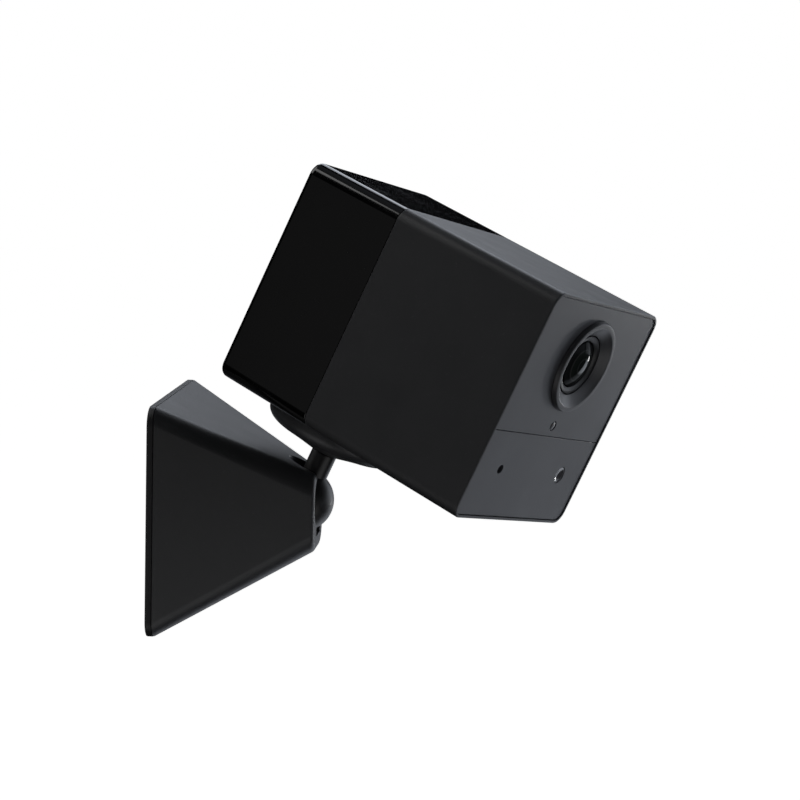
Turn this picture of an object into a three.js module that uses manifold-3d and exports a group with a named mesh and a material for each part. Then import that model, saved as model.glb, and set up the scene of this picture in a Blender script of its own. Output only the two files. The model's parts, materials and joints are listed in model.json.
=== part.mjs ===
// Wall-mounted battery camera: a box-shaped head held by magnet on a round dish,
// the dish on a ball-ended neck, and the ball in a pyramid bracket on a wall plate.
// Millimetres, +Z up, +Y into the wall, origin at the centre of the plate's back face.
import * as THREE from 'three';
import { mergeVertices } from 'three/addons/utils/BufferGeometryUtils.js';
import Module from 'manifold-3d';

const wasm = await Module();
wasm.setup();

// ---------- clearances ----------
const TOUCH_GAP = 0.3; // between pieces that touch or slide on each other
const SHADOW_GAP = 0.5; // visible dark line between two outer pieces
const ROOM = 0.8; // around boards and cells inside the head

// ---------- camera head ----------
const HEAD_WIDTH = 51.5;
const HEAD_HEIGHT = 52;
const HEAD_DEPTH = 67.5;
const FRONT_SHELL_LENGTH = 42.3; // the matte sleeve; the glossy cup takes the rest
const DISH_TO_REAR = 2.9; // the dish's edge to the rear face, seen from below
const HEAD_CORNER = 3.1; // long edges of both shells
const RIM_ROUND = 1.2; // front and rear edges of the shells
const SHELL_WALL = 2;
const REAR_WALL = 2.4;
const PANEL_LIP = 0.7; // thin rim of the sleeve around the front panels
const PANEL_THICKNESS = 1.6;
const PANEL_INSET = 0.4; // the panels sit this far behind the sleeve's rim

// ---------- lens ----------
const LENS_DROP = 14.6; // top of the head down to the optical axis
const BEZEL_RADIUS = 10.9;
const BEZEL_PROUD = 1.25;
const BEZEL_CREST_RADIUS = 9;
const FUNNEL_DEPTH = 1.6;
const TRIM_RADIUS = 6.8;
const GLASS_RADIUS = 5.2;
const GLASS_SAG = 1.3; // height of the front element's dome
const BARREL_LENGTH = 9;
const HOLDER_SIDE = 15;
const HOLDER_DEPTH = 5;
const SENSOR_SIDE = 6;
const BOARD_THICKNESS = 1.2;

// ---------- small front pieces, measured down from the optical axis ----------
const LED_DROP = 14.4;
const SEAM_DROP = 16.9; // line between the two front panels
const LED_RADIUS = 1.1;
const SENSOR_SPREAD = 14.4; // centre line to the microphone, and to the light sensor
const MIC_HOLE_RADIUS = 1;
const MIC_RADIUS = 2.1;
const LIGHT_WINDOW_RADIUS = 1.9;
const PIR_RADIUS = 4.2;

// ---------- rear pieces ----------
const FLAP_WIDTH = 25;
const FLAP_HEIGHT = 11;
const FLAP_THICKNESS = 2;
const FLAP_RISE = 8; // underside of the head to the flap's lower edge
const PORT_FLOOR = 2.4; // wall behind the flap
const PORT_INSET = 0.5; // the ports start this far in from the flap's ends
const PORT_DEPTH = 7;
const BUTTON_RADIUS = 3.5;
const BUTTON_RISE = 3; // port boss up to the button's edge
const BUTTON_PROUD = 0.8;
const BUTTON_TRAVEL = 0.7;
const BUTTON_MARGIN = 8.75; // inside of the side wall to the button's centre
const SPEAKER_MARGIN = 4.4;
const SPEAKER_DEPTH = 5;
const GRILLE_SLOT = 1.2;
const GRILLE_SLOTS = 5;

// ---------- inner frame, boards and battery ----------
const FRAME_WALL = 2;
const SENSOR_POST = 1.3; // sensor board back to the frame
const SENSOR_POST_RADIUS = 1.5;
const SENSOR_POST_MARGIN = 2;
const SHELF_RISE = 3.3;
const SHELF_THICKNESS = 1.6;
const MAIN_BOARD_DROP = 5.5;
const BATTERY_HEADROOM = 12;
const BATTERY_CORNER = 5;
const FRONT_BOARD_GAP = 4.5; // face panels back to the front board
const GASKET_WALL = 1.2;
const GASKET_HALF = 2;
const SWITCH_SIDE = 6;
const SWITCH_REACH = 3.3;
const STEM_RADIUS = 2;
const FLANGE = 1.1; // the button's flange inside the rear wall
const FLANGE_THICKNESS = 1;
const SPEAKER_OFFSET = -4;

// ---------- neck, ball and dish ----------
const NECK_LENGTH = 20.5; // ball centre to the underside of the head
const NECK_RADIUS = 2.95;
const SPIGOT_RADIUS = 2.2;
const BALL_RADIUS = 7.2;
const DISH_RADIUS = 16;
const DISH_HEIGHT = 8.3;
const DISH_SIDE = 3.7; // upright part of the dish's wall
const DISH_WALL = 1.5;
const DISH_FLOOR = 1.9; // plastic between the neck's shoulder and the screw's head
const PAD_THICKNESS = 0.9;
const MAGNET_THICKNESS = 2.6;

// ---------- wall bracket ----------
const PLATE_SIDE = 51.6;
const PLATE_CORNER = 4;
const PLATE_THICKNESS = 1.2;
const BRACKET_REACH = 34.8; // wall to the bracket's end face
const END_WIDTH = 15.4;
const END_HEIGHT = 17.4;
const END_CORNER = 4.8;
const BRACKET_WALL = 2;
const GUIDE_WALL = 1.6; // tube that the ball seat slides in
const SEAT_OVERLAP = 5; // how far the seat reaches back out of the tube's solid part
const SEAT_WALL = 1.2;
const SPRING_ROOM = 6;
const SPRING_POCKET = 2;
const SPRING_WIRE = 0.5;
const SPRING_TURNS = 4;
const CARRIER_THICKNESS = 2;
const LOCK_SETBACK = 5; // cover's back edge to the lock screw
const LOCK_FLOOR = 1.2;
const LUG_HALF_DEPTH = 2.5;
const LUG_HALF_WIDTH = 4;
const TRAY_ROOM = 3; // between the tray and the cover's wall
const TRAY_HEIGHT = 3.5;
const TRAY_WALL = 1.5;
const TRAY_CORNER = 3;
const WALL_HOLE_MARGIN = 7.6; // tray's side to the hole's centre
const BALL_SETBACK = 3.7; // bracket's end face back to the ball's centre
const BALL_RISE = 2.3; // plate centre to the ball's centre
const NOTCH_DROP = 7.9; // ball centre down to the bottom of the slot
const WALL_HOLE_RADIUS = 2.2;
const SCREW_RADIUS = 1;
const SCREW_HEAD_RADIUS = 1.9;
const SCREW_HEAD_HEIGHT = 1.1;
const BOSS_WALL = 1.2; // plastic around a screw
const SCREW_REACH = 5; // how far a screw runs into the piece it holds

const ballReach = BRACKET_REACH - BALL_SETBACK;

// ---------- how the camera is aimed ----------
const NECK_TILT = THREE.MathUtils.degToRad(23.6);
const HEAD_TURN = THREE.MathUtils.degToRad(-27);

// ---------- finishes ----------
function finish(color, roughness, metalness = 0) {
  return new THREE.MeshStandardMaterial({ color, roughness, metalness });
}
const matteCharcoal = finish(0x2b2b2e, 0.55);
const glossBlack = finish(0x141414, 0.15);
const panelCharcoal = finish(0x3a3b3f, 0.5);
const blackPlastic = finish(0x1c1c1d, 0.5);
const darkGlass = finish(0x0a1015, 0.05);
const blackMetal = finish(0x101012, 0.35, 0.8);
const boardGreen = finish(0x1e4a2c, 0.6);
const steel = finish(0xb4b6b8, 0.3, 1);
const blackRubber = finish(0x18181a, 0.85);
const slipPlastic = finish(0xd9d6cc, 0.45);
const batteryWrap = finish(0x3b6ea5, 0.5);
const lampWhite = finish(0xe6e6e0, 0.4);

// ---------- joining and cutting ----------
function toSolid(geometry) {
  const bare = geometry.clone();
  bare.deleteAttribute('normal');
  bare.deleteAttribute('uv');
  const merged = mergeVertices(bare, 1e-4);
  return new wasm.Manifold(new wasm.Mesh({
    numProp: 3,
    vertProperties: new Float32Array(merged.attributes.position.array),
    triVerts: new Uint32Array(merged.index.array),
  }));
}

function toGeometry(manifold) {
  const { vertProperties, triVerts } = manifold.getMesh();
  const geometry = new THREE.BufferGeometry();
  geometry.setAttribute('position', new THREE.BufferAttribute(new Float32Array(vertProperties), 3));
  geometry.setIndex(new THREE.BufferAttribute(new Uint32Array(triVerts), 1));
  return geometry;
}

function cut(body, ...tools) {
  return toGeometry(tools.reduce((rest, tool) => rest.subtract(toSolid(tool)), toSolid(body)));
}

function join(body, ...others) {
  return toGeometry(others.reduce((sum, other) => sum.add(toSolid(other)), toSolid(body)));
}

function common(body, limit) {
  return toGeometry(toSolid(body).intersect(toSolid(limit)));
}

// ---------- plain shapes ----------
function roundedRectangle(width, height, radius) {
  const [w, h] = [width / 2 - radius, height / 2 - radius];
  const quarter = Math.PI / 2;
  const shape = new THREE.Shape();
  shape.absarc(w, h, radius, 0, quarter);
  shape.absarc(-w, h, radius, quarter, 2 * quarter);
  shape.absarc(-w, -h, radius, 2 * quarter, 3 * quarter);
  shape.absarc(w, -h, radius, 3 * quarter, 4 * quarter);
  return shape;
}

// Upright slab: its outline lies in XZ, and it runs from y = front to y = back.
function slab(shape, front, back, z = 0, curveSegments = 5) {
  const settings = { depth: back - front, bevelEnabled: false, curveSegments };
  const geometry = new THREE.ExtrudeGeometry(shape, settings);
  return geometry.rotateX(Math.PI / 2).translate(0, back, z);
}

// The same with a rounded outline and both ends rounded over.
function roundedSlab(width, height, corner, edge, front, back, z) {
  const outline = roundedRectangle(width - 2 * edge, height - 2 * edge, corner - edge);
  const geometry = new THREE.ExtrudeGeometry(outline, {
    depth: back - front - 2 * edge,
    bevelThickness: edge,
    bevelSize: edge,
    bevelSegments: 3,
    curveSegments: 5,
  });
  return geometry.rotateX(Math.PI / 2).translate(0, back - edge, z);
}

function block(x0, x1, y0, y1, z0, z1) {
  const geometry = new THREE.BoxGeometry(x1 - x0, y1 - y0, z1 - z0);
  return geometry.translate((x0 + x1) / 2, (y0 + y1) / 2, (z0 + z1) / 2);
}

// Profiles are [radius, height] pairs, taken so that the outside is on the right going up.
function turnedAlongY(profile, x = 0, z = 0, segments = 24) {
  const points = profile.map(([radius, height]) => new THREE.Vector2(radius, height));
  return new THREE.LatheGeometry(points, segments).translate(x, 0, z);
}

function turnedAlongZ(profile, segments = 24) {
  return turnedAlongY(profile, 0, 0, segments).rotateX(Math.PI / 2);
}

function rodProfile(radius, low, high) {
  return [[0, low], [radius, low], [radius, high], [0, high]];
}

function rodAlongY(radius, y0, y1, x = 0, z = 0, segments = 24) {
  return turnedAlongY(rodProfile(radius, y0, y1), x, z, segments);
}

function rodAlongZ(radius, z0, z1, x = 0, y = 0, segments = 24) {
  return turnedAlongZ(rodProfile(radius, z0, z1), segments).translate(x, y, 0);
}

// Points of an arc in a turned profile, from one angle to another, in degrees.
function arcPoints(radius, from, to, steps, height = 0) {
  return Array.from({ length: steps + 1 }, (_, step) => {
    const angle = THREE.MathUtils.degToRad(from + ((to - from) * step) / steps);
    return [radius * Math.cos(angle), height + radius * Math.sin(angle)];
  });
}

function ball(radius, segments) {
  const side = arcPoints(radius, -90, 90, segments / 2).slice(1, -1);
  return turnedAlongY([[0, -radius], ...side, [0, radius]], 0, 0, segments);
}

// A pan-head screw along Y: the underside of its head is at y = seat, and the shank runs 'away'.
function screwAlongY(seat, away, x, z) {
  const geometry = turnedAlongY([
    [0, -SCREW_HEAD_HEIGHT],
    [SCREW_HEAD_RADIUS, -SCREW_HEAD_HEIGHT],
    [SCREW_HEAD_RADIUS, 0],
    [SCREW_RADIUS, 0],
    [SCREW_RADIUS, SCREW_REACH],
    [0, SCREW_REACH],
  ], 0, 0, 12);
  if (away < 0) geometry.rotateX(Math.PI);
  return geometry.translate(x, seat, z);
}

// ---------- assembly ----------
const camera = new THREE.Group();
const arm = new THREE.Group(); // its origin is the ball's centre, +Z along the neck
const head = new THREE.Group(); // its origin is under the head on the neck's axis, -Y forward
camera.add(arm);
arm.add(head);
arm.position.set(0, -ballReach, BALL_RISE);
arm.rotation.x = NECK_TILT;
head.position.z = NECK_LENGTH;
head.rotation.z = HEAD_TURN;

function place(group, name, geometry, material) {
  const mesh = new THREE.Mesh(geometry, material);
  mesh.name = name;
  group.add(mesh);
}

// ---------- wall bracket ----------
const coverBack = PLATE_THICKNESS + TOUCH_GAP;
const coverLength = BRACKET_REACH - coverBack;
const sideSlope = (PLATE_SIDE - END_WIDTH) / 2 / coverLength;
const topSlope = (PLATE_SIDE - END_HEIGHT) / 2 / coverLength;

// Rounded pyramid whose faces lie 'skin' inside the bracket's, between two distances from the wall.
function pyramid(skin, near, far) {
  const section = (distance) => {
    const share = (distance - coverBack) / coverLength;
    const between = (atWall, atEnd) => atWall + (atEnd - atWall) * share;
    return {
      w: between(PLATE_SIDE, END_WIDTH) / 2 - skin,
      h: between(PLATE_SIDE, END_HEIGHT) / 2 - skin,
      r: between(PLATE_CORNER, END_CORNER) - skin / 2,
    };
  };
  const [base, tip] = [section(near), section(far)];
  const geometry = slab(roundedRectangle(2 * base.w, 2 * base.h, base.r), -far, -near);
  const position = geometry.attributes.position;
  const carry = (value, half, tipHalf) => (
    Math.sign(value) * ((Math.abs(value) - half + base.r) * (tip.r / base.r) + tipHalf - tip.r)
  );
  for (let index = 0; index < position.count; index += 1) {
    if (position.getY(index) > -(near + far) / 2) continue;
    position.setX(index, carry(position.getX(index), base.w, tip.w));
    position.setZ(index, carry(position.getZ(index), base.h, tip.h));
  }
  return geometry;
}

const socketRadius = BALL_RADIUS + TOUCH_GAP;
const guideRadius = socketRadius + GUIDE_WALL;
const slotHalf = NECK_RADIUS + TOUCH_GAP;
// The slanted walls are thicker when measured along the plate.
const skin = BRACKET_WALL / Math.cos(Math.atan(sideSlope));
// The hollow stops where the slanted wall closes in on the ball's guide tube.
const hollowEnd = coverBack + (PLATE_SIDE / 2 - skin - guideRadius - BALL_RISE) / topSlope;
const seatFront = ballReach - NECK_RADIUS - 3 * TOUCH_GAP;
const seatBack = hollowEnd - SEAT_OVERLAP;
const carrierFront = seatBack - SPRING_ROOM;
const carrierBack = carrierFront - CARRIER_THICKNESS;
const earReach = guideRadius + SCREW_HEAD_RADIUS + TOUCH_GAP;
const bossRadius = SCREW_RADIUS + TOUCH_GAP + BOSS_WALL;
// The lock screw comes up through the cover's underside into a lug on the plate.
const lockReach = coverBack + LOCK_SETBACK;
const lockBossRadius = SCREW_HEAD_RADIUS + BRACKET_WALL;
const lockBoss = topSlope * (LOCK_SETBACK + LUG_HALF_DEPTH) + skin - PLATE_SIDE / 2;
const lockSeat = lockBoss - LOCK_FLOOR;

function bracketCover() {
  const shell = cut(pyramid(0, coverBack, BRACKET_REACH), pyramid(skin, coverBack - 1, hollowEnd));
  const stopHeight = -carrierFront - TOUCH_GAP;
  const inside = [
    rodAlongY(guideRadius, -hollowEnd - 1, stopHeight, 0, BALL_RISE, 32),
    rodAlongY(bossRadius, -hollowEnd, stopHeight, -earReach, BALL_RISE, 16),
    rodAlongY(bossRadius, -hollowEnd, stopHeight, earReach, BALL_RISE, 16),
    rodAlongZ(lockBossRadius, -PLATE_SIDE / 2, lockBoss, 0, -lockReach, 16),
  ].map((piece) => common(piece, pyramid(skin / 2, coverBack, BRACKET_REACH)));
  const socket = ball(socketRadius, 32).translate(0, -ballReach, BALL_RISE);
  const bore = rodAlongY(socketRadius, -ballReach, 0, 0, BALL_RISE, 32);
  const slot = block(
    -slotHalf, slotHalf, -BRACKET_REACH - 1, -ballReach, BALL_RISE - NOTCH_DROP, PLATE_SIDE,
  );
  const slotEnd = rodAlongZ(slotHalf, BALL_RISE, PLATE_SIDE, 0, -ballReach);
  const screwHoles = [-earReach, earReach].map((x) => (
    rodAlongY(SCREW_RADIUS + TOUCH_GAP, -carrierFront - SCREW_REACH - 1, 0, x, BALL_RISE, 12)
  ));
  const lockHoles = [
    rodAlongZ(SCREW_RADIUS + TOUCH_GAP, -PLATE_SIDE, 0, 0, -lockReach, 12),
    rodAlongZ(SCREW_HEAD_RADIUS + TOUCH_GAP, -PLATE_SIDE, lockSeat, 0, -lockReach, 16),
  ];
  return cut(join(shell, ...inside), bore, socket, slot, slotEnd, ...screwHoles, ...lockHoles);
}

// The plate screws to the wall; its raised tray centres the cover, and its lug takes the lock screw.
function wallPlate() {
  const plate = slab(roundedRectangle(PLATE_SIDE, PLATE_SIDE, PLATE_CORNER), -PLATE_THICKNESS, 0);
  const trayHalf = PLATE_SIDE / 2 - skin - SHADOW_GAP - TRAY_ROOM;
  const trayFront = -PLATE_THICKNESS - TRAY_HEIGHT;
  const tray = slab(
    roundedRectangle(2 * trayHalf, 2 * trayHalf, TRAY_CORNER), trayFront, -PLATE_THICKNESS / 2,
  );
  const insideHalf = trayHalf - TRAY_WALL;
  const trayInside = slab(
    roundedRectangle(2 * insideHalf, 2 * insideHalf, TRAY_CORNER - TRAY_WALL),
    trayFront - 1, -PLATE_THICKNESS,
  );
  const bossGap = lockBossRadius + TOUCH_GAP;
  const lugBottom = lockBoss + TOUCH_GAP;
  const bossRoom = block(-bossGap, bossGap, trayFront - 1, -PLATE_THICKNESS, -PLATE_SIDE, lugBottom);
  const lug = block(
    -LUG_HALF_WIDTH, LUG_HALF_WIDTH, -lockReach - LUG_HALF_DEPTH, -PLATE_THICKNESS / 2,
    lugBottom, lugBottom + SCREW_REACH,
  );
  const holeX = trayHalf - WALL_HOLE_MARGIN;
  const wallHoles = [-holeX, holeX].map((x) => rodAlongY(WALL_HOLE_RADIUS, trayFront, 1, x, 0, 16));
  const lockHole = rodAlongZ(SCREW_RADIUS + TOUCH_GAP, -PLATE_SIDE / 2, 0, 0, -lockReach, 12);
  return cut(join(plate, cut(tray, trayInside, bossRoom), lug), ...wallHoles, lockHole);
}

function ballSeat() {
  const radius = socketRadius - TOUCH_GAP;
  const cup = rodAlongY(radius, -seatFront, -seatBack, 0, BALL_RISE, 32);
  const recess = ball(socketRadius, 32).translate(0, -ballReach, BALL_RISE);
  const springPocket = rodAlongY(radius - SEAT_WALL, -seatBack - SPRING_POCKET, 1 - seatBack, 0, BALL_RISE);
  return cut(cup, recess, springPocket);
}

class Helix extends THREE.Curve {
  constructor(radius, rise, turns) {
    super();
    Object.assign(this, { radius, rise, turns });
  }

  getPoint(t, target = new THREE.Vector3()) {
    const angle = 2 * Math.PI * this.turns * t;
    return target.set(this.radius * Math.cos(angle), this.rise * t, this.radius * Math.sin(angle));
  }
}

function seatSpring() {
  const reach = SPRING_ROOM + SPRING_POCKET - 2 * (SPRING_WIRE + TOUCH_GAP);
  const coilRadius = socketRadius - SEAT_WALL - 2 * TOUCH_GAP - SPRING_WIRE;
  const path = new Helix(coilRadius, reach, SPRING_TURNS);
  const section = new THREE.Shape().absarc(0, 0, SPRING_WIRE, 0, 2 * Math.PI);
  const geometry = new THREE.ExtrudeGeometry(section, { steps: 56, extrudePath: path, curveSegments: 3 });
  return geometry.translate(0, SPRING_WIRE + TOUCH_GAP - seatBack - SPRING_POCKET, BALL_RISE);
}

function springCarrier() {
  const disc = rodAlongY(guideRadius, -carrierFront, -carrierBack, 0, BALL_RISE, 32);
  const ears = block(
    -earReach - bossRadius, earReach + bossRadius, -carrierFront, -carrierBack,
    BALL_RISE - bossRadius, BALL_RISE + bossRadius,
  );
  const holes = [-earReach, earReach].map((x) => (
    rodAlongY(SCREW_RADIUS + TOUCH_GAP, -BRACKET_REACH, 0, x, BALL_RISE, 12)
  ));
  return cut(join(disc, ears), ...holes);
}

function lockScrew() {
  const screw = screwAlongY(0, 1, 0, 0).rotateX(Math.PI / 2);
  return screw.translate(0, -lockReach, lockSeat - TOUCH_GAP);
}

place(camera, 'wall_plate', wallPlate(), blackPlastic);
place(camera, 'bracket_cover', bracketCover(), matteCharcoal);
place(camera, 'ball_seat', ballSeat(), slipPlastic);
place(camera, 'seat_spring', seatSpring(), steel);
place(camera, 'spring_carrier', springCarrier(), blackPlastic);
for (const [name, side] of [['carrier_screw_left', -1], ['carrier_screw_right', 1]]) {
  const seat = -carrierBack + TOUCH_GAP;
  place(camera, name, screwAlongY(seat, -1, side * earReach, BALL_RISE), steel);
}
place(camera, 'lock_screw', lockScrew(), steel);

// ---------- neck, ball and dish ----------
const dishFloor = NECK_LENGTH - DISH_HEIGHT; // where the dish meets the neck
const dishTop = NECK_LENGTH - 2 * TOUCH_GAP;
const floorTop = dishFloor + TOUCH_GAP + DISH_FLOOR;
const pocketRadius = DISH_RADIUS - DISH_WALL;
const padTop = NECK_LENGTH - TOUCH_GAP;
const padBottom = padTop - PAD_THICKNESS;
const magnetTop = padBottom - TOUCH_GAP;

function ballNeck() {
  const pole = Math.sqrt(BALL_RADIUS ** 2 - NECK_RADIUS ** 2);
  const top = THREE.MathUtils.radToDeg(Math.atan2(pole, NECK_RADIUS));
  const body = turnedAlongZ([
    [0, -BALL_RADIUS],
    ...arcPoints(BALL_RADIUS, -90, top, 14).slice(1),
    [NECK_RADIUS, dishFloor],
    [SPIGOT_RADIUS, dishFloor],
    [SPIGOT_RADIUS, floorTop - TOUCH_GAP],
    [0, floorTop - TOUCH_GAP],
  ], 32);
  return cut(body, rodAlongZ(SCREW_RADIUS + TOUCH_GAP, floorTop - SCREW_REACH - 1, NECK_LENGTH, 0, 0, 12));
}

function magnetDish() {
  const spigotHole = SPIGOT_RADIUS + TOUCH_GAP;
  const shoulder = NECK_LENGTH - DISH_SIDE;
  const magnetFloor = magnetTop - MAGNET_THICKNESS - TOUCH_GAP;
  return turnedAlongZ([
    [spigotHole, dishFloor + TOUCH_GAP],
    [NECK_RADIUS + 1.3, dishFloor + TOUCH_GAP],
    [DISH_RADIUS * 0.65, dishFloor + 2.1],
    [DISH_RADIUS * 0.9, shoulder - 1.5],
    [DISH_RADIUS - 0.4, shoulder - 0.4],
    [DISH_RADIUS, shoulder + 0.5],
    [DISH_RADIUS, dishTop - 0.4],
    [DISH_RADIUS - 0.4, dishTop],
    [pocketRadius, dishTop],
    [pocketRadius, magnetFloor],
    [SCREW_HEAD_RADIUS + 2, magnetFloor],
    [SCREW_HEAD_RADIUS + 1, floorTop],
    [spigotHole, floorTop],
    [spigotHole, dishFloor + TOUCH_GAP],
  ], 40);
}

function dishMagnet() {
  const [inner, outer] = [SCREW_HEAD_RADIUS + 2, pocketRadius - TOUCH_GAP];
  const bottom = magnetTop - MAGNET_THICKNESS;
  return turnedAlongZ([
    [inner, bottom], [outer, bottom], [outer, magnetTop], [inner, magnetTop], [inner, bottom],
  ], 32);
}

place(arm, 'ball_neck', ballNeck(), blackMetal);
place(arm, 'magnet_dish', magnetDish(), matteCharcoal);
place(arm, 'dish_magnet', dishMagnet(), steel);
place(arm, 'dish_pad', rodAlongZ(pocketRadius - TOUCH_GAP, padBottom, padTop, 0, 0, 40), blackRubber);
place(
  arm,
  'dish_screw',
  screwAlongY(0, 1, 0, 0).rotateX(-Math.PI / 2).translate(0, 0, floorTop + TOUCH_GAP),
  steel,
);

// ---------- camera head: shells ----------
const rear = DISH_RADIUS + DISH_TO_REAR; // behind the neck's axis
const front = rear - HEAD_DEPTH;
const joint = front + FRONT_SHELL_LENGTH;
const middle = HEAD_HEIGHT / 2;
const insideWidth = HEAD_WIDTH - 2 * SHELL_WALL;
const insideHeight = HEAD_HEIGHT - 2 * SHELL_WALL;
const insideCorner = HEAD_CORNER - SHELL_WALL;
const insideTop = HEAD_HEIGHT - SHELL_WALL;
const rearInside = rear - REAR_WALL;
const panelFront = front + PANEL_INSET;
const panelBack = panelFront + PANEL_THICKNESS;
const lensHeight = HEAD_HEIGHT - LENS_DROP;
const seamHeight = lensHeight - SEAM_DROP;
const ledHeight = lensHeight - LED_DROP;
const sensorHeight = seamHeight * 0.575;

// Upright wall between the lens side and the battery; the front shell's bosses end against it.
const glassBack = panelFront - BEZEL_PROUD + FUNNEL_DEPTH + 1.5;
const barrelBack = glassBack + TOUCH_GAP + BARREL_LENGTH;
const sensorBoardFront = barrelBack + 1 + 2 * TOUCH_GAP;
const bulkheadFront = sensorBoardFront + BOARD_THICKNESS + SENSOR_POST;
const bulkheadBack = bulkheadFront + FRAME_WALL;
const cornerBoss = bossRadius;
const bossX = insideWidth / 2 - cornerBoss;
const bossZ = insideHeight / 2 - cornerBoss;
const corners = [[-1, -1], [1, -1], [-1, 1], [1, 1]].map(([sx, sz]) => [sx * bossX, middle + sz * bossZ]);

function frontShell() {
  const outer = roundedSlab(HEAD_WIDTH, HEAD_HEIGHT, HEAD_CORNER, RIM_ROUND, front, rear, middle);
  const behind = block(-HEAD_WIDTH, HEAD_WIDTH, joint - TOUCH_GAP / 2, rear + 1, -1, HEAD_HEIGHT + 1);
  const hollow = slab(roundedRectangle(insideWidth, insideHeight, insideCorner), front - 1, rear, middle);
  const recess = slab(
    roundedRectangle(HEAD_WIDTH - 2 * PANEL_LIP, HEAD_HEIGHT - 2 * PANEL_LIP, HEAD_CORNER - PANEL_LIP),
    front - 1, panelBack + TOUCH_GAP, middle,
  );
  const bosses = corners.map(([x, z]) => {
    const reach = cornerBoss + SHELL_WALL / 2;
    const pillar = block(
      x > 0 ? x - cornerBoss : x - reach, x > 0 ? x + reach : x + cornerBoss,
      bulkheadFront - SCREW_REACH - 2, bulkheadFront - TOUCH_GAP,
      z > middle ? z - cornerBoss : z - reach, z > middle ? z + reach : z + cornerBoss,
    );
    return cut(pillar, rodAlongY(SCREW_RADIUS + TOUCH_GAP, front, rear, x, z, 12));
  });
  return join(cut(outer, behind, hollow, recess), ...bosses);
}

const flapTop = FLAP_RISE + FLAP_HEIGHT;
const portHeight = FLAP_RISE + FLAP_HEIGHT / 2;
const recessFloor = rear - FLAP_THICKNESS - TOUCH_GAP;
const portWallBack = recessFloor - PORT_FLOOR;
const portBossTop = flapTop + TOUCH_GAP + PORT_FLOOR;
const usb = { width: 8.6, height: 3.2 };
const card = { width: 9.4, height: 1.8 };
usb.x = (usb.width - FLAP_WIDTH) / 2 + PORT_INSET;
card.x = (FLAP_WIDTH - card.width) / 2 - PORT_INSET;
// The case screw and its post stand between the two ports.
const caseScrewX = (usb.width - card.width) / 2;
const postRadius = (FLAP_WIDTH - usb.width - card.width) / 2 - PORT_INSET - TOUCH_GAP;
const caseScrewSeat = recessFloor - SCREW_HEAD_HEIGHT - 0.1;
const buttonX = insideWidth / 2 - BUTTON_MARGIN;
const buttonHeight = portBossTop + BUTTON_RADIUS + BUTTON_RISE;
const speakerRadius = (insideTop - portBossTop) / 2 - SPEAKER_MARGIN;
const speakerHeight = (insideTop + portBossTop) / 2;

function rearShell() {
  const outer = roundedSlab(HEAD_WIDTH, HEAD_HEIGHT, HEAD_CORNER, RIM_ROUND, front, rear, middle);
  const ahead = block(-HEAD_WIDTH, HEAD_WIDTH, front - 1, joint + TOUCH_GAP / 2, -1, HEAD_HEIGHT + 1);
  const hollow = slab(roundedRectangle(insideWidth, insideHeight, insideCorner), front, rearInside, middle);
  const half = FLAP_WIDTH / 2 + TOUCH_GAP;
  const portBoss = block(
    -half - PORT_FLOOR, half + PORT_FLOOR, portWallBack, rearInside + 1,
    FLAP_RISE - TOUCH_GAP - PORT_FLOOR, portBossTop,
  );
  const recess = block(-half, half, recessFloor, rear + 1, FLAP_RISE - TOUCH_GAP, flapTop + TOUCH_GAP);
  const mouths = [usb, card].map(({ x, width, height }) => block(
    x - width / 2 - TOUCH_GAP, x + width / 2 + TOUCH_GAP, portWallBack - 1, rear,
    portHeight - height / 2 - TOUCH_GAP, portHeight + height / 2 + TOUCH_GAP,
  ));
  const pitch = (2 * speakerRadius - GRILLE_SLOT) / GRILLE_SLOTS;
  const slots = Array.from({ length: GRILLE_SLOTS }, (_, index) => {
    const drop = (index - (GRILLE_SLOTS - 1) / 2) * pitch;
    const reach = Math.sqrt((speakerRadius - GRILLE_SLOT) ** 2 - drop ** 2);
    return block(
      SPEAKER_OFFSET - reach, SPEAKER_OFFSET + reach, rearInside - 1, rear + 1,
      speakerHeight + drop - GRILLE_SLOT / 2, speakerHeight + drop + GRILLE_SLOT / 2,
    );
  });
  return cut(
    join(cut(outer, ahead, hollow), portBoss),
    recess,
    ...mouths,
    rodAlongY(SCREW_RADIUS + TOUCH_GAP, front, rear, caseScrewX, portHeight, 12),
    rodAlongY(SCREW_HEAD_RADIUS + TOUCH_GAP, caseScrewSeat - TOUCH_GAP, rear, caseScrewX, portHeight, 16),
    rodAlongY(BUTTON_RADIUS + TOUCH_GAP, joint, rear + 1, buttonX, buttonHeight),
    ...slots,
  );
}

function frontPanel(bottom, top, ...holes) {
  const edge = PANEL_LIP + SHADOW_GAP;
  const outline = roundedRectangle(HEAD_WIDTH - 2 * edge, HEAD_HEIGHT - 2 * edge, HEAD_CORNER - edge);
  const sheet = slab(outline, panelFront, panelBack, middle);
  return cut(common(sheet, block(-HEAD_WIDTH, HEAD_WIDTH, front - 1, rear, bottom, top)), ...holes);
}

function rearGasket() {
  const [width, height] = [insideWidth - 2 * TOUCH_GAP, insideHeight - 2 * TOUCH_GAP];
  const [ahead, behind] = [joint - GASKET_HALF, joint + GASKET_HALF];
  const ring = slab(roundedRectangle(width, height, insideCorner), ahead, behind, middle);
  const opening = roundedRectangle(width - 2 * GASKET_WALL, height - 2 * GASKET_WALL, insideCorner / 2);
  return cut(ring, slab(opening, ahead - 1, behind + 1, middle));
}

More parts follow.
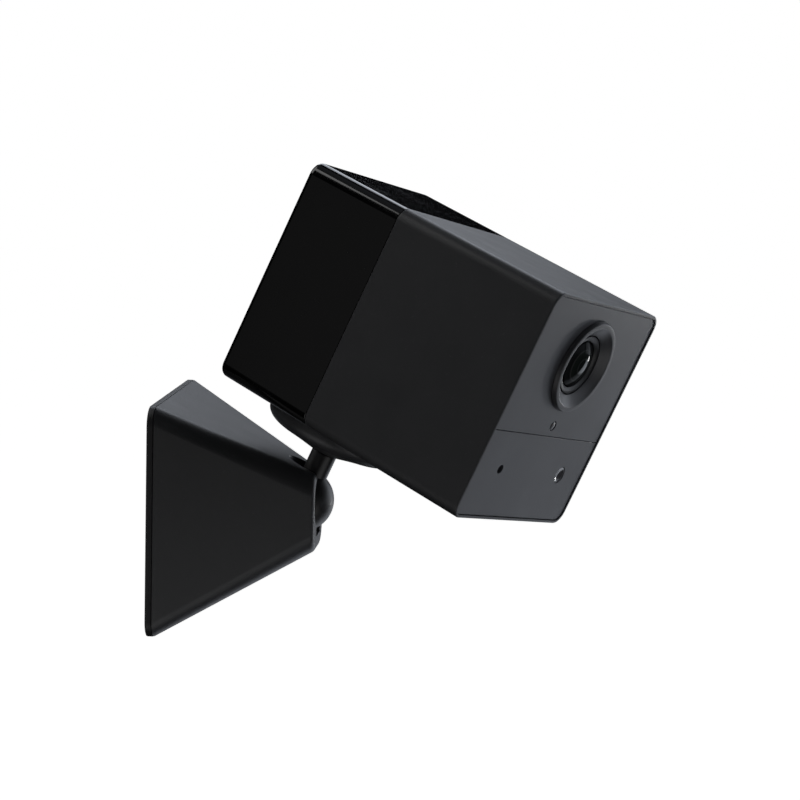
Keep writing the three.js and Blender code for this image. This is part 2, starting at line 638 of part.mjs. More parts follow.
const bezelNeck = BEZEL_RADIUS - 1;
place(head, 'front_shell', frontShell(), matteCharcoal);
place(head, 'rear_shell', rearShell(), glossBlack);
place(head, 'front_panel_upper', frontPanel(
  seamHeight + TOUCH_GAP / 2,
  HEAD_HEIGHT,
  rodAlongY(bezelNeck + TOUCH_GAP, front - 1, rear, 0, lensHeight, 40),
  rodAlongY(LED_RADIUS + TOUCH_GAP, front - 1, rear, 0, ledHeight, 16),
), panelCharcoal);
place(head, 'front_panel_lower', frontPanel(
  -1,
  seamHeight - TOUCH_GAP / 2,
  rodAlongY(MIC_HOLE_RADIUS, front - 1, rear, -SENSOR_SPREAD, sensorHeight, 16),
  rodAlongY(LIGHT_WINDOW_RADIUS + TOUCH_GAP, front - 1, rear, SENSOR_SPREAD, sensorHeight, 16),
), panelCharcoal);
place(head, 'rear_gasket', rearGasket(), blackRubber);

// ---------- camera head: lens ----------
const crest = panelFront - BEZEL_PROUD;
const funnelFloor = crest + FUNNEL_DEPTH;
const trimDepth = 1.2;
const holderBack = sensorBoardFront - TOUCH_GAP;
const barrelRadius = GLASS_RADIUS - 0.6;

function lensBezel() {
  const seat = TRIM_RADIUS + TOUCH_GAP;
  const flange = panelFront - TOUCH_GAP;
  const bezelBack = panelBack + ROOM;
  return turnedAlongY([
    [seat, funnelFloor],
    [BEZEL_CREST_RADIUS - 0.3, crest + 0.1],
    [BEZEL_CREST_RADIUS, crest],
    [BEZEL_CREST_RADIUS + 0.4, crest + 0.1],
    [BEZEL_RADIUS, flange - 0.3],
    [BEZEL_RADIUS, flange],
    [bezelNeck, flange],
    [bezelNeck, bezelBack],
    [GLASS_RADIUS + TOUCH_GAP, bezelBack],
    [GLASS_RADIUS + TOUCH_GAP, funnelFloor + trimDepth],
    [seat, funnelFloor + trimDepth],
    [seat, funnelFloor],
  ], 0, lensHeight, 40);
}

function lensTrim() {
  const [inner, outer] = [GLASS_RADIUS + TOUCH_GAP, TRIM_RADIUS];
  const back = funnelFloor + trimDepth - TOUCH_GAP;
  const lip = funnelFloor + 0.4;
  return turnedAlongY([
    [inner, lip], [outer, funnelFloor], [outer, back], [inner, back], [inner, lip],
  ], 0, lensHeight, 40);
}

function lensGlass() {
  const edge = glassBack - 1;
  const domeRadius = (GLASS_RADIUS ** 2 + GLASS_SAG ** 2) / (2 * GLASS_SAG);
  const spread = THREE.MathUtils.radToDeg(Math.asin(GLASS_RADIUS / domeRadius));
  const dome = arcPoints(domeRadius, -90, spread - 90, 5, edge - GLASS_SAG + domeRadius).slice(1);
  const profile = [[0, edge - GLASS_SAG], ...dome, [GLASS_RADIUS, glassBack], [0, glassBack]];
  return turnedAlongY(profile, 0, lensHeight, 32);
}

function lensHolder() {
  const half = HOLDER_SIDE / 2;
  const holderFront = holderBack - HOLDER_DEPTH;
  const body = block(-half, half, holderFront, holderBack, lensHeight - half, lensHeight + half);
  return cut(body, rodAlongY(barrelRadius + TOUCH_GAP, front, rear, 0, lensHeight));
}

const boardHalf = LENS_DROP - SHELL_WALL - ROOM + TOUCH_GAP;
const sensorHalf = SENSOR_SIDE / 2;
place(head, 'lens_bezel', lensBezel(), blackPlastic);
place(head, 'lens_trim', lensTrim(), blackMetal);
place(head, 'lens_glass', lensGlass(), darkGlass);
place(
  head,
  'lens_barrel',
  rodAlongY(barrelRadius, glassBack + TOUCH_GAP, barrelBack, 0, lensHeight),
  blackMetal,
);
place(head, 'lens_holder', lensHolder(), blackPlastic);
place(head, 'image_sensor', block(
  -sensorHalf, sensorHalf, barrelBack + TOUCH_GAP, barrelBack + TOUCH_GAP + 1,
  lensHeight - sensorHalf, lensHeight + sensorHalf,
), darkGlass);
place(head, 'sensor_board', block(
  -boardHalf, boardHalf, sensorBoardFront, sensorBoardFront + BOARD_THICKNESS,
  lensHeight - boardHalf, lensHeight + boardHalf,
), boardGreen);

// ---------- camera head: small front pieces ----------
const frontBoardFront = panelBack + FRONT_BOARD_GAP;
const pieceBack = frontBoardFront - TOUCH_GAP;
const frontBoardHalf = SENSOR_SPREAD + MIC_RADIUS + 1;
place(head, 'front_board', block(
  -frontBoardHalf, frontBoardHalf, frontBoardFront, frontBoardFront + BOARD_THICKNESS,
  SHELL_WALL + ROOM, ledHeight + 3,
), boardGreen);
place(head, 'pir_sensor', rodAlongY(PIR_RADIUS, panelBack + TOUCH_GAP, pieceBack, 0, sensorHeight), steel);
place(head, 'microphone', rodAlongY(
  MIC_RADIUS, panelBack + TOUCH_GAP, pieceBack, -SENSOR_SPREAD, sensorHeight, 16,
), blackRubber);
place(head, 'light_sensor', rodAlongY(
  LIGHT_WINDOW_RADIUS, panelFront + 0.2, pieceBack, SENSOR_SPREAD, sensorHeight, 16,
), darkGlass);
place(head, 'status_led', rodAlongY(LED_RADIUS, panelFront + 0.1, pieceBack, 0, ledHeight, 16), lampWhite);

// ---------- camera head: inner frame, power and boards ----------
const shelfBottom = SHELL_WALL + SHELF_RISE;
const shelfTop = shelfBottom + SHELF_THICKNESS;
const shelfHalf = bossX - SCREW_HEAD_RADIUS - 2 * TOUCH_GAP; // clear of the corner screws
const ioBoardBack = portWallBack - TOUCH_GAP - PORT_DEPTH - TOUCH_GAP;
const ioBoardFront = ioBoardBack - BOARD_THICKNESS;
const mainBoardBottom = insideTop - MAIN_BOARD_DROP;

function chassis() {
  const outline = roundedRectangle(insideWidth - 2 * TOUCH_GAP, insideHeight - 2 * TOUCH_GAP, insideCorner);
  const bulkhead = slab(outline, bulkheadFront, bulkheadBack, middle);
  const shelf = block(-shelfHalf, shelfHalf, bulkheadBack - 1, ioBoardFront, shelfBottom, shelfTop);
  const post = rodAlongY(
    postRadius, ioBoardFront - 3, portWallBack - TOUCH_GAP, caseScrewX, portHeight, 16,
  );
  const foot = block(
    caseScrewX - postRadius, caseScrewX + postRadius, ioBoardFront - 3, ioBoardFront - 1,
    shelfTop - 1, portHeight,
  );
  const boardPosts = [-1, 1].map((side) => rodAlongY(
    SENSOR_POST_RADIUS, sensorBoardFront + BOARD_THICKNESS + TOUCH_GAP, bulkheadFront + 1,
    side * (boardHalf - SENSOR_POST_MARGIN), lensHeight, 12,
  ));
  return cut(
    join(bulkhead, shelf, post, foot, ...boardPosts),
    ...corners.map(([x, z]) => rodAlongY(SCREW_RADIUS + TOUCH_GAP, front, ioBoardFront - 4, x, z, 12)),
    rodAlongY(SCREW_RADIUS + TOUCH_GAP, portWallBack - SCREW_REACH, rear, caseScrewX, portHeight, 12),
  );
}

function ioBoard() {
  const board = block(
    -shelfHalf, shelfHalf, ioBoardFront, ioBoardBack, shelfTop + ROOM - BOARD_THICKNESS * 2, buttonHeight + 6,
  );
  return cut(board, rodAlongY(postRadius + TOUCH_GAP, front, rear, caseScrewX, portHeight, 16));
}

place(head, 'chassis', chassis(), blackPlastic);
corners.forEach(([x, z], index) => {
  place(head, `chassis_screw_${index + 1}`, screwAlongY(bulkheadBack + TOUCH_GAP, -1, x, z), steel);
});
const batteryHeight = mainBoardBottom - shelfTop - BATTERY_HEADROOM;
place(head, 'battery_pack', roundedSlab(
  2 * (shelfHalf - ROOM), batteryHeight, BATTERY_CORNER, RIM_ROUND,
  bulkheadBack + SCREW_HEAD_HEIGHT + ROOM, ioBoardFront - 3 - ROOM, shelfTop + ROOM + batteryHeight / 2,
), batteryWrap);
place(head, 'main_board', block(
  -shelfHalf + 1, shelfHalf - 1, bulkheadBack + SCREW_HEAD_HEIGHT + ROOM, ioBoardFront - ROOM,
  mainBoardBottom, mainBoardBottom + BOARD_THICKNESS,
), boardGreen);
const moduleBottom = mainBoardBottom + BOARD_THICKNESS + TOUCH_GAP;
place(head, 'wifi_module', block(-7, 7, joint - 14, joint - 4, moduleBottom, moduleBottom + 2), steel);
place(head, 'wifi_antenna', block(
  -shelfHalf + 2, -9, bulkheadBack + 4, bulkheadBack + 7, moduleBottom, moduleBottom + 0.8,
), slipPlastic);
place(head, 'io_board', ioBoard(), boardGreen);
for (const [name, { x, width, height }] of [['usb_port', usb], ['card_slot', card]]) {
  place(head, name, block(
    x - width / 2, x + width / 2, ioBoardBack + TOUCH_GAP, portWallBack - TOUCH_GAP,
    portHeight - height / 2, portHeight + height / 2,
  ), steel);
}
place(head, 'case_screw', screwAlongY(caseScrewSeat, -1, caseScrewX, portHeight), steel);
const speakerBack = rearInside - TOUCH_GAP;
place(head, 'speaker', rodAlongY(
  speakerRadius, speakerBack - SPEAKER_DEPTH, speakerBack, SPEAKER_OFFSET, speakerHeight, 32,
), blackPlastic);
place(head, 'steel_plate', rodAlongZ(
  pocketRadius - TOUCH_GAP, shelfBottom - TOUCH_GAP - BOARD_THICKNESS, shelfBottom - TOUCH_GAP, 0, 0, 32,
), steel);

// ---------- camera head: button and port flap ----------
const buttonInner = ioBoardBack + TOUCH_GAP + SWITCH_REACH + BUTTON_TRAVEL + TOUCH_GAP;
const flangeBack = rearInside - TOUCH_GAP;
const switchHalf = SWITCH_SIDE / 2;
place(head, 'tact_switch', block(
  buttonX - switchHalf, buttonX + switchHalf, ioBoardBack + TOUCH_GAP, ioBoardBack + TOUCH_GAP + SWITCH_REACH,
  buttonHeight - switchHalf, buttonHeight + switchHalf,
), blackPlastic);
place(head, 'power_button', turnedAlongY([
  [0, buttonInner],
  [STEM_RADIUS, buttonInner],
  [STEM_RADIUS, flangeBack - FLANGE_THICKNESS],
  [BUTTON_RADIUS + FLANGE, flangeBack - FLANGE_THICKNESS],
  [BUTTON_RADIUS + FLANGE, flangeBack],
  [BUTTON_RADIUS, flangeBack],
  [BUTTON_RADIUS, rear + BUTTON_PROUD - 0.3],
  [BUTTON_RADIUS - 0.3, rear + BUTTON_PROUD],
  [0, rear + BUTTON_PROUD],
], buttonX, buttonHeight), blackRubber);

// The flap turns about its rounded lower edge, so that edge stays in its place as it opens.
function portFlap() {
  const round = FLAP_THICKNESS / 2;
  const outline = new THREE.Shape();
  outline.moveTo(round, FLAP_HEIGHT - round);
  outline.lineTo(-round, FLAP_HEIGHT - round);
  outline.absarc(0, 0, round, Math.PI, 2 * Math.PI);
  const settings = { depth: FLAP_WIDTH, bevelEnabled: false, curveSegments: 8 };
  const geometry = new THREE.ExtrudeGeometry(outline, settings);
  geometry.rotateX(Math.PI / 2).rotateZ(Math.PI / 2);
  return geometry.translate(-FLAP_WIDTH / 2, rear - round, FLAP_RISE + round);
}
place(head, 'port_flap', portFlap(), blackRubber);

export default camera;
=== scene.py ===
import json
import math

import bmesh
import bpy
from mathutils import Matrix, Vector


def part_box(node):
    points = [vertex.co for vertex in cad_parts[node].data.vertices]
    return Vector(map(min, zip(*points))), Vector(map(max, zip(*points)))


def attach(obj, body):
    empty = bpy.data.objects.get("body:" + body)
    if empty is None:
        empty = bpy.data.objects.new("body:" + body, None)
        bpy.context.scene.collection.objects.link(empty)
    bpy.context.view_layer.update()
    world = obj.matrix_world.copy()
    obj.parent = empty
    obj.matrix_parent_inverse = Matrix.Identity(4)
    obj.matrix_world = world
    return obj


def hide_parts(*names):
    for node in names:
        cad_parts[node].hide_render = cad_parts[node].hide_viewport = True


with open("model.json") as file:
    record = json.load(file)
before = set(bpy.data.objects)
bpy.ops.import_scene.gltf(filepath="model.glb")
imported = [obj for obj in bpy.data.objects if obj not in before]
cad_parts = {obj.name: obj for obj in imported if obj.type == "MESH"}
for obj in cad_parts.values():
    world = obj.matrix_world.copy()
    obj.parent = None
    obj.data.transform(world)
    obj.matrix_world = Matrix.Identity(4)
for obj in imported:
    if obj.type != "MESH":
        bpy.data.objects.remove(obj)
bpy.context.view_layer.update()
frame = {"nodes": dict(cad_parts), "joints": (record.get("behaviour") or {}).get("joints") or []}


# ---------- Wall plate ----------
# A flat black moulding screwed to the wall through two holes.
# Injection-moulded ABS, with a raised tray that centres the bracket and a lug for the lock screw.
MM = 0.001
BRACKET = Matrix.Scale(MM, 4)
PLATE_SIDE = 51.6
PLATE_CORNER = 4.0
PLATE_THICKNESS = 1.4
TRAY_SIDE = 40.04
TRAY_FRONT = -4.7
TRAY_WALL = 1.5
TRAY_CORNER = 3
PLATE_ROUND = 0.15
WALL_HOLE = 2.2
WALL_HOLE_X = 12.45
LOCK_REACH = 6.5
LOCK_BOSS_ROOM = 8.4
LOCK_BOSS_TOP = -19.37
LUG_WIDTH = 8
LUG_Z = -16.87
SCREW_HOLE = 1.3


class Signal:
    """One value that varies over a surface. Sums on it add Math nodes."""

    def __init__(self, finish, socket):
        self.finish = finish
        self.socket = socket

    def _math(self, operation, first, second):
        return self.finish.node("ShaderNodeMath", {"operation": operation}, {0: first, 1: second})

    def __add__(self, other):
        return self._math("ADD", self, other)

    def __radd__(self, other):
        return self._math("ADD", other, self)

    def __sub__(self, other):
        return self._math("SUBTRACT", self, other)

    def __rsub__(self, other):
        return self._math("SUBTRACT", other, self)

    def __mul__(self, other):
        return self._math("MULTIPLY", self, other)

    def __rmul__(self, other):
        return self._math("MULTIPLY", other, self)


class Finish:
    """A material, whose nodes are all added by node()."""

    def __init__(self, name):
        self.material = bpy.data.materials.new(name)
        self.material.use_nodes = True
        self.material.node_tree.nodes.clear()
        self.place = self.node("ShaderNodeTexCoord", {}, {}, "Object")

    def node(self, kind, settings, inputs, output=0):
        tree = self.material.node_tree
        made = tree.nodes.new(kind)
        for name, value in settings.items():
            if name == "stops":
                ramp = made.color_ramp
                while len(ramp.elements) < len(value):
                    ramp.elements.new(0.5)
                for element, (position, color) in zip(ramp.elements, value):
                    element.position = position
                    element.color = (*color, 1)
            else:
                setattr(made, name, value)
        for name, value in inputs.items():
            if isinstance(value, Signal):
                tree.links.new(value.socket, made.inputs[name])
            else:
                made.inputs[name].default_value = value
        return Signal(self, made.outputs[output]) if len(made.outputs) else None

    def noise(self, size, detail=2.0, place=None):
        """Even noise from 0 to 1, whose grains are about size millimetres across."""
        inputs = {"Vector": place or self.place, "Scale": 1 / (size * MM), "Detail": detail}
        return self.node("ShaderNodeTexNoise", {}, inputs)

    def band(self, value, low, high):
        """0 below low, 1 above high, and smooth between."""
        inputs = {"Value": value, "From Min": low, "From Max": high}
        return self.node("ShaderNodeMapRange", {"interpolation_type": "SMOOTHSTEP"}, inputs)

    def between(self, share, first, second):
        """A colour that goes from first to second as share goes from 0 to 1."""
        colors = [c if isinstance(c, Signal) else (*c, 1) for c in (first, second)]
        inputs = {0: share, 6: colors[0], 7: colors[1]}
        return self.node("ShaderNodeMix", {"data_type": "RGBA"}, inputs, 2)

    def bump(self, height, depth, under=None):
        """A relief that is depth millimetres high."""
        inputs = {"Height": height, "Distance": depth * MM, "Strength": 1.0}
        if under:
            inputs["Normal"] = under
        return self.node("ShaderNodeBump", {}, inputs)

    def surface(self, inputs):
        shader = self.node("ShaderNodeBsdfPrincipled", {}, inputs)
        self.node("ShaderNodeOutputMaterial", {}, {"Surface": shader})
        return self.material


def moulded(name, dark, light, rough, grain, depth):
    """Moulded plastic: spark-eroded grain, faint flow mottling, and a few rubbed and dusty places."""
    finish = Finish(name)
    texture = finish.noise(grain, 3.0)
    mottle = finish.noise(9.0, 4.0)
    rubbed = finish.band(finish.noise(16.0, 6.0), 0.5, 0.72)
    speck = finish.band(finish.noise(0.6, 1.0), 0.7, 0.78)
    base = finish.between(mottle * 0.6 + texture * 0.4, dark, light)
    return finish.surface({
        "Base Color": finish.between(speck * 0.25, base, [2 * c for c in light]),
        "Roughness": rough + (mottle - 0.5) * 0.1 - rubbed * 0.06 + speck * 0.1,
        "Normal": finish.bump(texture, depth),
    })


black_plastic = moulded("black_plastic", (0.020, 0.020, 0.021), (0.028, 0.028, 0.030), 0.44, 0.35, 0.012)


def bar(width, height, front, back, middle=(0, 0), corner=0.0, segments=10):
    """A bar that runs along Y from front to back, with its long edges rounded."""
    shape = bmesh.new()
    bmesh.ops.create_cube(shape, size=1)
    bmesh.ops.scale(shape, vec=(width, back - front, height), verts=shape.verts)
    bmesh.ops.translate(shape, vec=(middle[0], (front + back) / 2, middle[1]), verts=shape.verts)
    if corner:
        along = [e for e in shape.edges if abs(e.verts[0].co.y - e.verts[1].co.y) > 1e-6]
        soften(shape, along, corner, segments)
    return shape


def soften(shape, edges, radius, segments=4):
    bmesh.ops.bevel(
        shape, geom=edges, offset=radius, segments=segments, profile=0.5,
        affect="EDGES", material=-1, clamp_overlap=False,
    )


def crisp_edges(shape, test, angle=35):
    """The sharp edges whose two ends both pass a test."""
    return [
        e for e in shape.edges
        if len(e.link_faces) == 2 and e.calc_face_angle(0) > math.radians(angle)
        and all(test(v.co) for v in e.verts)
    ]


def rod(radius, low, high, centre=(0, 0, 0), axis="Y", steps=48):
    """A plain round rod, used as a cutter or a post."""
    shape = bmesh.new()
    bmesh.ops.create_cone(
        shape, cap_ends=True, segments=steps, radius1=radius, radius2=radius, depth=high - low,
    )
    bmesh.ops.translate(shape, vec=(0, 0, (low + high) / 2), verts=shape.verts)
    if axis == "Y":
        bmesh.ops.rotate(shape, matrix=Matrix.Rotation(-math.pi / 2, 3, "X"), verts=shape.verts)
    bmesh.ops.translate(shape, vec=centre, verts=shape.verts)
    return shape


def loose(shape):
    mesh = bpy.data.meshes.new("loose")
    shape.to_mesh(mesh)
    shape.free()
    made = bpy.data.objects.new("loose", mesh)
    bpy.context.scene.collection.objects.link(made)
    return made


def combined(shape, operation, tools):
    """Cuts tools out of a shape (DIFFERENCE), joins them (UNION) or keeps what overlaps (INTERSECT)."""
    base, others = loose(shape), [loose(tool) for tool in tools]
    for other in others:
        step = base.modifiers.new("step", "BOOLEAN")
        step.operation, step.object, step.solver = operation, other, "EXACT"
    result = bmesh.new()
    result.from_object(base, bpy.context.evaluated_depsgraph_get())
    for used in (base, *others):
        bpy.data.objects.remove(used)
    bmesh.ops.remove_doubles(result, verts=result.verts, dist=0.002)
    bmesh.ops.dissolve_degenerate(result, edges=result.edges, dist=0.001)
    return result


def piece(name, shape, place, body, slot, material, *nodes, flat=True):
    """Makes an object of a closed shape, and puts it in its place on a body."""
    bmesh.ops.remove_doubles(shape, verts=shape.verts, dist=0.001)
    bmesh.ops.recalc_face_normals(shape, faces=shape.faces)
    shape.transform(place)
    mesh = bpy.data.meshes.new(name)
    shape.to_mesh(mesh)
    shape.free()
    mesh.shade_smooth()
    mesh.set_sharp_from_angle(angle=math.radians(32))
    mesh.materials.append(material)
    made = bpy.data.objects.new(name, mesh)
    bpy.context.scene.collection.objects.link(made)
    if flat:
        shading = made.modifiers.new("even_shading", "WEIGHTED_NORMAL")
        shading.keep_sharp = True
    if nodes:
        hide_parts(*nodes)
    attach(made, body)
    return made


plate = bar(PLATE_SIDE, PLATE_SIDE, -PLATE_THICKNESS, 0, corner=PLATE_CORNER)
soften(plate, crisp_edges(plate, lambda co: True, 60), PLATE_ROUND, 2)
tray = bar(TRAY_SIDE, TRAY_SIDE, TRAY_FRONT, -PLATE_THICKNESS / 2, corner=TRAY_CORNER)
tray_room = TRAY_SIDE - 2 * TRAY_WALL
tray_inside = bar(tray_room, tray_room, TRAY_FRONT - 1, -PLATE_THICKNESS, corner=TRAY_CORNER - TRAY_WALL)
boss_room = bar(LOCK_BOSS_ROOM, 14, TRAY_FRONT - 1, -PLATE_THICKNESS, (0, LOCK_BOSS_TOP - 7))
tray = combined(tray, "DIFFERENCE", [tray_inside, boss_room])
lug = bar(LUG_WIDTH, 5, -LOCK_REACH - 2.5, -PLATE_THICKNESS / 2, (0, LUG_Z))
wall_holes = [rod(WALL_HOLE, -9, 1, (x, 0, 0)) for x in (-WALL_HOLE_X, WALL_HOLE_X)]
lock_hole = rod(SCREW_HOLE, -30, 0, (0, -LOCK_REACH, 0), "Z", 24)
plate = combined(plate, "UNION", [tray, lug])
plate = combined(plate, "DIFFERENCE", [*wall_holes, lock_hole])
piece("wall_back_plate", plate, BRACKET, "bracket", "black_plastic", black_plastic, "wall_plate")


# ---------- Pyramid bracket ----------
# A hollow rounded pyramid that hides the ball seat, clipped over the plate's tray.
# Satin charcoal ABS; a slot in its end lets the neck tip, and a lock screw holds it from below.
COVER_BACK = 1.5
REACH = 34.8
END_WIDTH = 15.4
END_HEIGHT = 17.4
END_CORNER = 4.8
COVER_SKIN = 2.2
HOLLOW_END = 25.1
BALL = Vector((0, -31.1, 2.3))
SOCKET_RADIUS = 7.5
SLOT_HALF = 3.25
SLOT_DEPTH = 7.9
LOCK_SEAT = -20.87
LOCK_BOSS = 3.9
COUNTERBORE = 2.2
GUIDE_RADIUS = SOCKET_RADIUS + 1.6
EAR_RADIUS = 2.5
EAR_X = 11.3
END_ROUND = 0.9
BACK_ROUND = 0.15
CARRIER_FRONT = 14.4

charcoal = moulded("matte_charcoal", (0.040, 0.041, 0.044), (0.052, 0.053, 0.057), 0.42, 0.3, 0.010)


def outline_at(shape, width, height, corner, distance):
    """Draws a rounded rectangle at a distance from the wall, and gives its edges."""
    made = bmesh.ops.create_grid(shape, x_segments=1, y_segments=1, size=0.5)["verts"]
    bmesh.ops.scale(shape, vec=(width, height, 1), verts=made)
    bmesh.ops.rotate(shape, matrix=Matrix.Rotation(math.pi / 2, 3, "X"), verts=made)
    bmesh.ops.translate(shape, vec=(0, -distance, 0), verts=made)
    bmesh.ops.bevel(
        shape, geom=made, offset=corner, segments=12, profile=0.5, affect="VERTICES", material=-1,
    )
    return [e for e in shape.edges if all(abs(v.co.y + distance) < 1e-4 for v in e.verts)]


def pyramid(skin, near, far):
    """The bracket's rounded pyramid, with its faces skin millimetres in, between two distances."""
    shape = bmesh.new()
    loops = []
    for distance in (near, far):
        share = (distance - COVER_BACK) / (REACH - COVER_BACK)
        width, height, corner = (
            wide + (narrow - wide) * share
            for wide, narrow in (
                (PLATE_SIDE, END_WIDTH), (PLATE_SIDE, END_HEIGHT), (PLATE_CORNER, END_CORNER),
            )
        )
        loops += outline_at(shape, width - 2 * skin, height - 2 * skin, corner - skin / 2, distance)
    bmesh.ops.bridge_loops(shape, edges=loops)
    bmesh.ops.recalc_face_normals(shape, faces=shape.faces)
    return shape


cover = pyramid(0, COVER_BACK, REACH)
soften(cover, crisp_edges(cover, lambda co: co.y < -REACH + 0.01, 20), END_ROUND, 5)
soften(cover, crisp_edges(cover, lambda co: co.y > -COVER_BACK - 0.01, 20), BACK_ROUND, 2)
cover = combined(cover, "DIFFERENCE", [pyramid(COVER_SKIN, COVER_BACK - 1, HOLLOW_END)])
guide = combined(
    rod(GUIDE_RADIUS, -REACH + 2.5, -CARRIER_FRONT, (0, 0, BALL.z), steps=64),
    "UNION",
    [rod(EAR_RADIUS, -HOLLOW_END - 1, -CARRIER_FRONT, (x, 0, BALL.z)) for x in (-EAR_X, EAR_X)],
)
guide = combined(guide, "INTERSECT", [pyramid(COVER_SKIN / 2, COVER_BACK, REACH - 2)])
lock_boss = rod(LOCK_BOSS, -40, LOCK_SEAT + 1.2, (0, -LOCK_REACH, 0), "Z")
lock_boss = combined(lock_boss, "INTERSECT", [pyramid(COVER_SKIN / 2, COVER_BACK, HOLLOW_END)])
cover = combined(cover, "UNION", [guide, lock_boss])
socket = bmesh.new()
bmesh.ops.create_uvsphere(socket, u_segments=64, v_segments=32, radius=SOCKET_RADIUS)
bmesh.ops.translate(socket, vec=BALL, verts=socket.verts)
slot_top = 60
slot_middle = (slot_top + BALL.z - SLOT_DEPTH) / 2
slot = bar(2 * SLOT_HALF, slot_top - BALL.z + SLOT_DEPTH, -REACH - 1, BALL.y, (0, slot_middle))
cover = combined(cover, "DIFFERENCE", [
    rod(SOCKET_RADIUS, BALL.y, 0, (0, 0, BALL.z), steps=64),
    socket,
    slot,
    rod(SLOT_HALF, BALL.z, slot_top, (0, BALL.y, 0), "Z"),
    rod(COUNTERBORE, -40, LOCK_SEAT, (0, -LOCK_REACH, 0), "Z"),
    rod(SCREW_HOLE, -40, 0, (0, -LOCK_REACH, 0), "Z", 24),
])
piece("pyramid_bracket", cover, BRACKET, "bracket", "matte_charcoal", charcoal, "bracket_cover")


# ---------- Ball seat, spring, carrier and screws ----------
# A nylon cup pressed on the ball by a wire spring, held in by a carrier with two screws.
# The screws are zinc-plated steel with a cross recess, and the lock screw shows from below.
def steel_finish(name, stretch):
    """Bright steel with fine lines, drawn out by stretch along Y, and a few dull patches."""
    finish = Finish(name)
    drawn = finish.node("ShaderNodeMapping", {}, {"Vector": finish.place, "Scale": (1, stretch, 1)})
    lines = finish.noise(0.25, 3.0, drawn)
    dull = finish.noise(3.0, 4.0)
    return finish.surface({
        "Base Color": finish.between(dull, (0.36, 0.36, 0.37), (0.52, 0.52, 0.54)),
        "Metallic": 1.0,
        "Roughness": 0.24 + lines * 0.12 + dull * 0.12,
        "Normal": finish.bump(lines, 0.006),
    })


def finish_nodes(material, *names):
    """Gives CAD nodes that stay as they are their material."""
    for name in names:
        mesh = frame["nodes"][name].data
        mesh.materials.clear()
        mesh.materials.append(material)


def screw_head(radius, height, shank, reach):
    """A pan-head screw standing along +Z: its head's underside is at 0, and its shank runs down."""
    head = rod(radius, 0, height, axis="Z")
    soften(head, crisp_edges(head, lambda co: co.z > height - 0.01, 60), height * 0.45, 4)
    arms = [bar(long, wide, -0.25, 0.25) for long, wide in ((2.2, 0.55), (0.55, 2.2))]
    for arm in arms:
        bmesh.ops.rotate(arm, matrix=Matrix.Rotation(math.pi / 2, 3, "X"), verts=arm.verts)
        bmesh.ops.scale(arm, vec=(1, 1, 2.4), verts=arm.verts)
        bmesh.ops.translate(arm, vec=(0, 0, height), verts=arm.verts)
    head = combined(head, "UNION", [rod(shank, -reach, 0.01, axis="Z", steps=24)])
    return combined(head, "DIFFERENCE", arms)


SCREW_HEAD = 1.9
SCREW_HEAD_HEIGHT = 1.1
SCREW_SHANK = 1.0
SCREW_LENGTH = 5.0

steel = steel_finish("steel", 0.15)
nylon = moulded("slip_plastic", (0.55, 0.53, 0.48), (0.66, 0.64, 0.59), 0.38, 0.5, 0.006)
finish_nodes(steel, "seat_spring", "carrier_screw_left", "carrier_screw_right")
finish_nodes(nylon, "ball_seat", "wifi_antenna")
finish_nodes(black_plastic, "spring_carrier")
lock_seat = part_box("lock_screw")[0].z / MM + SCREW_HEAD_HEIGHT
lock = screw_head(SCREW_HEAD, SCREW_HEAD_HEIGHT, SCREW_SHANK, SCREW_LENGTH)
turned_over = Matrix.Translation((0, -LOCK_REACH, lock_seat)) @ Matrix.Rotation(math.pi, 4, "X")
piece("lock_screw_cross_head", lock, BRACKET @ turned_over, "bracket", "steel", steel, "lock_screw")


# ---------- Ball and neck ----------
# The ball and its neck are one turned piece of die-cast zinc with a satin black coat.
# The neck's top is a spigot that the dish sits on, held by one screw from above.
joints = {joint["name"]: joint for joint in frame["joints"]}
swivel = joints["head_swivel"]
across = -Vector(joints["flap_open"]["axis"])
backward = -Vector(joints["button_press"]["axis"])
upward = Vector(swivel["axis"])
aim = Matrix((across, backward, upward)).transposed().to_4x4()
NECK = Matrix.Translation(swivel["pos_m"]) @ aim @ Matrix.Scale(MM, 4)
NECK_LENGTH = 20.5
NECK_RADIUS = 2.95
BALL_RADIUS = 7.2
DISH_FLOOR = 12.2
FLOOR_TOP = 14.4
SPIGOT = 2.2


def outline(points, closed=False, start=None, shape=None):
    """A line through (radius, height, rounding) points, with its corners rounded."""
    shape = shape or bmesh.new()
    corners = [shape.verts.new((radius, 0, height)) for radius, height, _ in points]
    chain = [start, *corners] if start else [*corners, corners[0]] if closed else corners
    for first, second in zip(chain, chain[1:]):
        shape.edges.new((first, second))
    for rounding in sorted({point[2] for point in points} - {0}):
        chosen = [corner for corner, point in zip(corners, points) if point[2] == rounding]
        bmesh.ops.bevel(
            shape, geom=chosen, offset=rounding, segments=4, profile=0.5, affect="VERTICES",
            material=-1, clamp_overlap=False,
        )
    return shape


def turned(shape, axis="Z", centre=(0, 0), steps=96):
    """Spins a line into a closed body about Z, or about Y with heights measured along Y."""
    bmesh.ops.spin(
        shape, geom=[*shape.verts, *shape.edges], cent=(0, 0, 0), axis=(0, 0, 1),
        angle=2 * math.pi, steps=steps, use_merge=True, use_duplicate=False,
    )
    bmesh.ops.remove_doubles(shape, verts=shape.verts, dist=0.001)
    if axis == "Y":
        bmesh.ops.rotate(shape, matrix=Matrix.Rotation(-math.pi / 2, 3, "X"), verts=shape.verts)
        bmesh.ops.translate(shape, vec=(centre[0], 0, centre[1]), verts=shape.verts)
    bmesh.ops.recalc_face_normals(shape, faces=shape.faces)
    return shape


